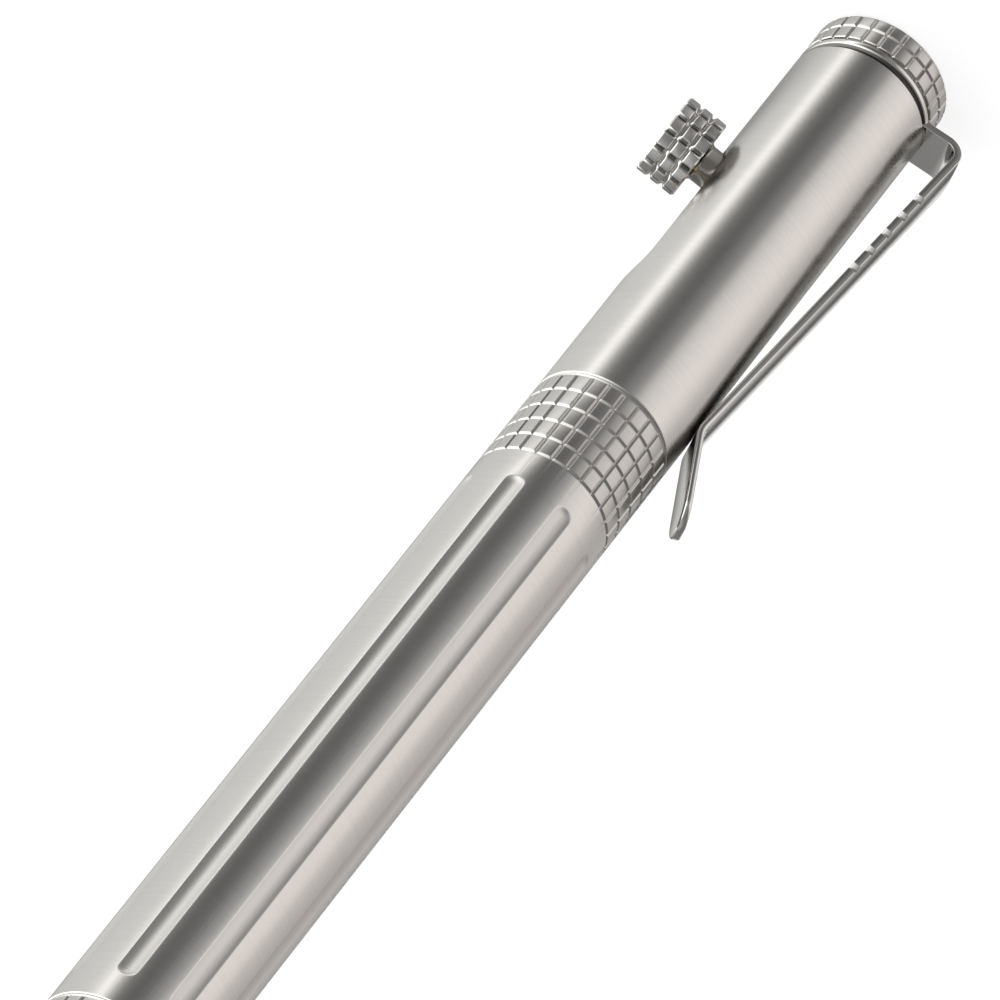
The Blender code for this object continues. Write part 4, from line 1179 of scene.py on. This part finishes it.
def make_floor():
    """White floor: it glows for the rays that see it as background, and still takes shadow."""
    material, tree, out = stage_material("floor")
    link = tree.links.new
    glow = node(tree, "ShaderNodeEmission", Strength=FLOOR_GLOW)
    pale = node(tree, "ShaderNodeBsdfDiffuse", Color=FLOOR_COLOUR)
    seen = tree.nodes.new("ShaderNodeAddShader")
    link(glow.outputs[0], seen.inputs[0])
    link(pale.outputs[0], seen.inputs[1])
    plain = node(tree, "ShaderNodeBsdfDiffuse", Color=FLOOR_PLAIN)
    choose = tree.nodes.new("ShaderNodeMixShader")
    link(background_rays(tree), choose.inputs[0])
    link(plain.outputs[0], choose.inputs[1])
    link(seen.outputs[0], choose.inputs[2])
    link(choose.outputs[0], out.inputs[0])
    shape = bmesh.new()
    bmesh.ops.create_grid(shape, x_segments=1, y_segments=1, size=FLOOR_SIZE / 2)
    floor = stage_object("floor", shape, material)
    floor.visible_glossy = False


def angle_share(tree, parts):
    """0 to 1 with the angle round the pen, with the camera's side in the middle."""
    flipped = [math_node(tree, "MULTIPLY", parts.outputs[axis], -1.0) for axis in ("X", "Y")]
    angle = math_node(tree, "ARCTAN2", *flipped)
    return math_node(tree, "MULTIPLY_ADD", angle, 1 / math.tau, 0.5)


def ramp_colour(colour):
    """A light's colour as a share of the strongest light that a ramp can hold."""
    return (*[part / RAMP_RANGE for part in colour], 1.0)


def light_ramp(tree, share, stops):
    """Light by the angle round the pen, which is twice that of the face that mirrors it."""
    ramp = tree.nodes.new("ShaderNodeValToRGB")
    elements = ramp.color_ramp.elements
    for index, (degrees, colour) in enumerate(stops):
        spot = 0.5 + 2 * degrees / 360
        stop = elements[index] if index < 2 else elements.new(spot)
        stop.position = spot
        stop.color = ramp_colour(colour)
    tree.links.new(share, ramp.inputs[0])
    return ramp.outputs[0]


def height_share(tree, parts, low, high):
    """0 to 1 between two angles of rise above the middle of the dome."""
    start, end = (DOME_RADIUS * math.sin(math.radians(rise)) for rise in (low, high))
    share = node(tree, "ShaderNodeMapRange", From_Min=start, From_Max=end)
    share.interpolation_type = "SMOOTHSTEP"
    tree.links.new(parts.outputs["Z"], share.inputs["Value"])
    return share.outputs["Result"]


def colour_mix(tree, share, first, second):
    """Mix two colours, of which each is a socket or a plain colour."""
    mix = tree.nodes.new("ShaderNodeMix")
    mix.data_type = "RGBA"
    tree.links.new(share, mix.inputs["Factor"])
    for name, colour in (("A", first), ("B", second)):
        if isinstance(colour, tuple):
            mix.inputs[name].default_value = ramp_colour(colour)
        else:
            tree.links.new(colour, mix.inputs[name])
    return mix.outputs["Result"]


def make_dome():
    """Studio round the pen, seen only in its reflections: lit at the left, dark at the camera."""
    material, tree, out = stage_material("studio_dome")
    link = tree.links.new
    parts = tree.nodes.new("ShaderNodeSeparateXYZ")
    place = tree.nodes.new("ShaderNodeTexCoord")
    link(place.outputs["Object"], parts.inputs[0])
    round_share = angle_share(tree, parts)
    below = light_ramp(tree, round_share, BELOW_STOPS)
    walls = light_ramp(tree, round_share, DOME_STOPS)
    sides = colour_mix(tree, height_share(tree, parts, *HORIZON_DEGREES), below, walls)
    roofed = colour_mix(tree, height_share(tree, parts, *CEILING_DEGREES), sides, DOME_TOP)
    light = colour_mix(tree, height_share(tree, parts, *FOOT_DEGREES), roofed, DOME_FOOT)
    glow = node(tree, "ShaderNodeEmission", Strength=RAMP_RANGE)
    link(light, glow.inputs["Color"])
    link(glow.outputs[0], out.inputs[0])
    shape = bmesh.new()
    bmesh.ops.create_uvsphere(shape, u_segments=DOME_ROUND, v_segments=DOME_RINGS, radius=DOME_RADIUS)
    dome = stage_object("studio_dome", shape, material, seen_by_camera=False)
    dome.location.z = DOME_LEVEL


def make_shade():
    """Soft dark patch on the table behind the cap, seen only in the pen's reflections."""
    material, tree, out = stage_material("table_shade")
    link = tree.links.new
    place = tree.nodes.new("ShaderNodeTexCoord")
    away = tree.nodes.new("ShaderNodeVectorMath")
    away.operation = "LENGTH"
    link(place.outputs["Object"], away.inputs[0])
    clear_share = node(tree, "ShaderNodeMapRange", From_Min=SHADE_FULL, From_Max=SHADE_END)
    clear_share.interpolation_type = "SMOOTHSTEP"
    link(away.outputs["Value"], clear_share.inputs["Value"])
    dark = node(tree, "ShaderNodeEmission", Color=SHADE_COLOUR)
    clear = tree.nodes.new("ShaderNodeBsdfTransparent")
    mix = tree.nodes.new("ShaderNodeMixShader")
    link(clear_share.outputs["Result"], mix.inputs[0])
    link(dark.outputs[0], mix.inputs[1])
    link(clear.outputs[0], mix.inputs[2])
    link(mix.outputs[0], out.inputs[0])
    shape = bmesh.new()
    bmesh.ops.create_grid(shape, x_segments=1, y_segments=1, size=SHADE_SIZE / 2)
    shade = stage_object("table_shade", shape, material, seen_by_camera=False)
    shade.location = SHADE_PLACE


def make_world():
    """White world for the rays that see it as background, and plain soft light for the rest."""
    world = bpy.data.worlds.new("studio")
    bpy.context.scene.world = world
    world.use_nodes = True
    tree = world.node_tree
    shade = tree.nodes["Background"]
    shade.inputs["Color"].default_value = (1, 1, 1, 1)
    pick = node(tree, "ShaderNodeMapRange", To_Min=WORLD_LIGHT, To_Max=1.0)
    tree.links.new(background_rays(tree), pick.inputs["Value"])
    tree.links.new(pick.outputs["Result"], shade.inputs["Strength"])


def add_softbox(name, place, aim, size, power):
    """A soft lamp that the pen does not mirror."""
    light = bpy.data.lights.new(name, "AREA")
    light.shape = "RECTANGLE"
    light.size, light.size_y = size
    light.energy = power
    lamp = add_object(name, light)
    lamp.location = place
    lamp.rotation_euler = (Vector(aim) - Vector(place)).to_track_quat("-Z", "Y").to_euler()
    lamp.visible_camera = False
    lamp.visible_glossy = False


def make_camera():
    """The photograph's camera."""
    data = bpy.data.cameras.new("photo_camera")
    data.sensor_width = CAMERA_SENSOR
    data.lens = CAMERA_FOCAL_PIXELS / PHOTO_PIXELS * CAMERA_SENSOR
    data.clip_start = CAMERA_CLIP_START
    data.clip_end = CAMERA_CLIP_END
    camera = add_object("photo_camera", data)
    back = -Vector(CAMERA_FORWARD).normalized()
    right = Vector(CAMERA_UP).cross(back).normalized()
    up = back.cross(right)
    turn = Matrix((right, up, back)).transposed().to_4x4()
    camera.matrix_world = Matrix.Translation(Vector(CAMERA_PLACE) * MM) @ turn
    bpy.context.scene.camera = camera


bpy.context.scene.view_settings.view_transform = "Standard"
make_camera()
make_world()
make_floor()
make_dome()
make_shade()
add_softbox("overhead_softbox", SOFTBOX_PLACE, SOFTBOX_AIM, SOFTBOX_SIZE, SOFTBOX_POWER)
dress()
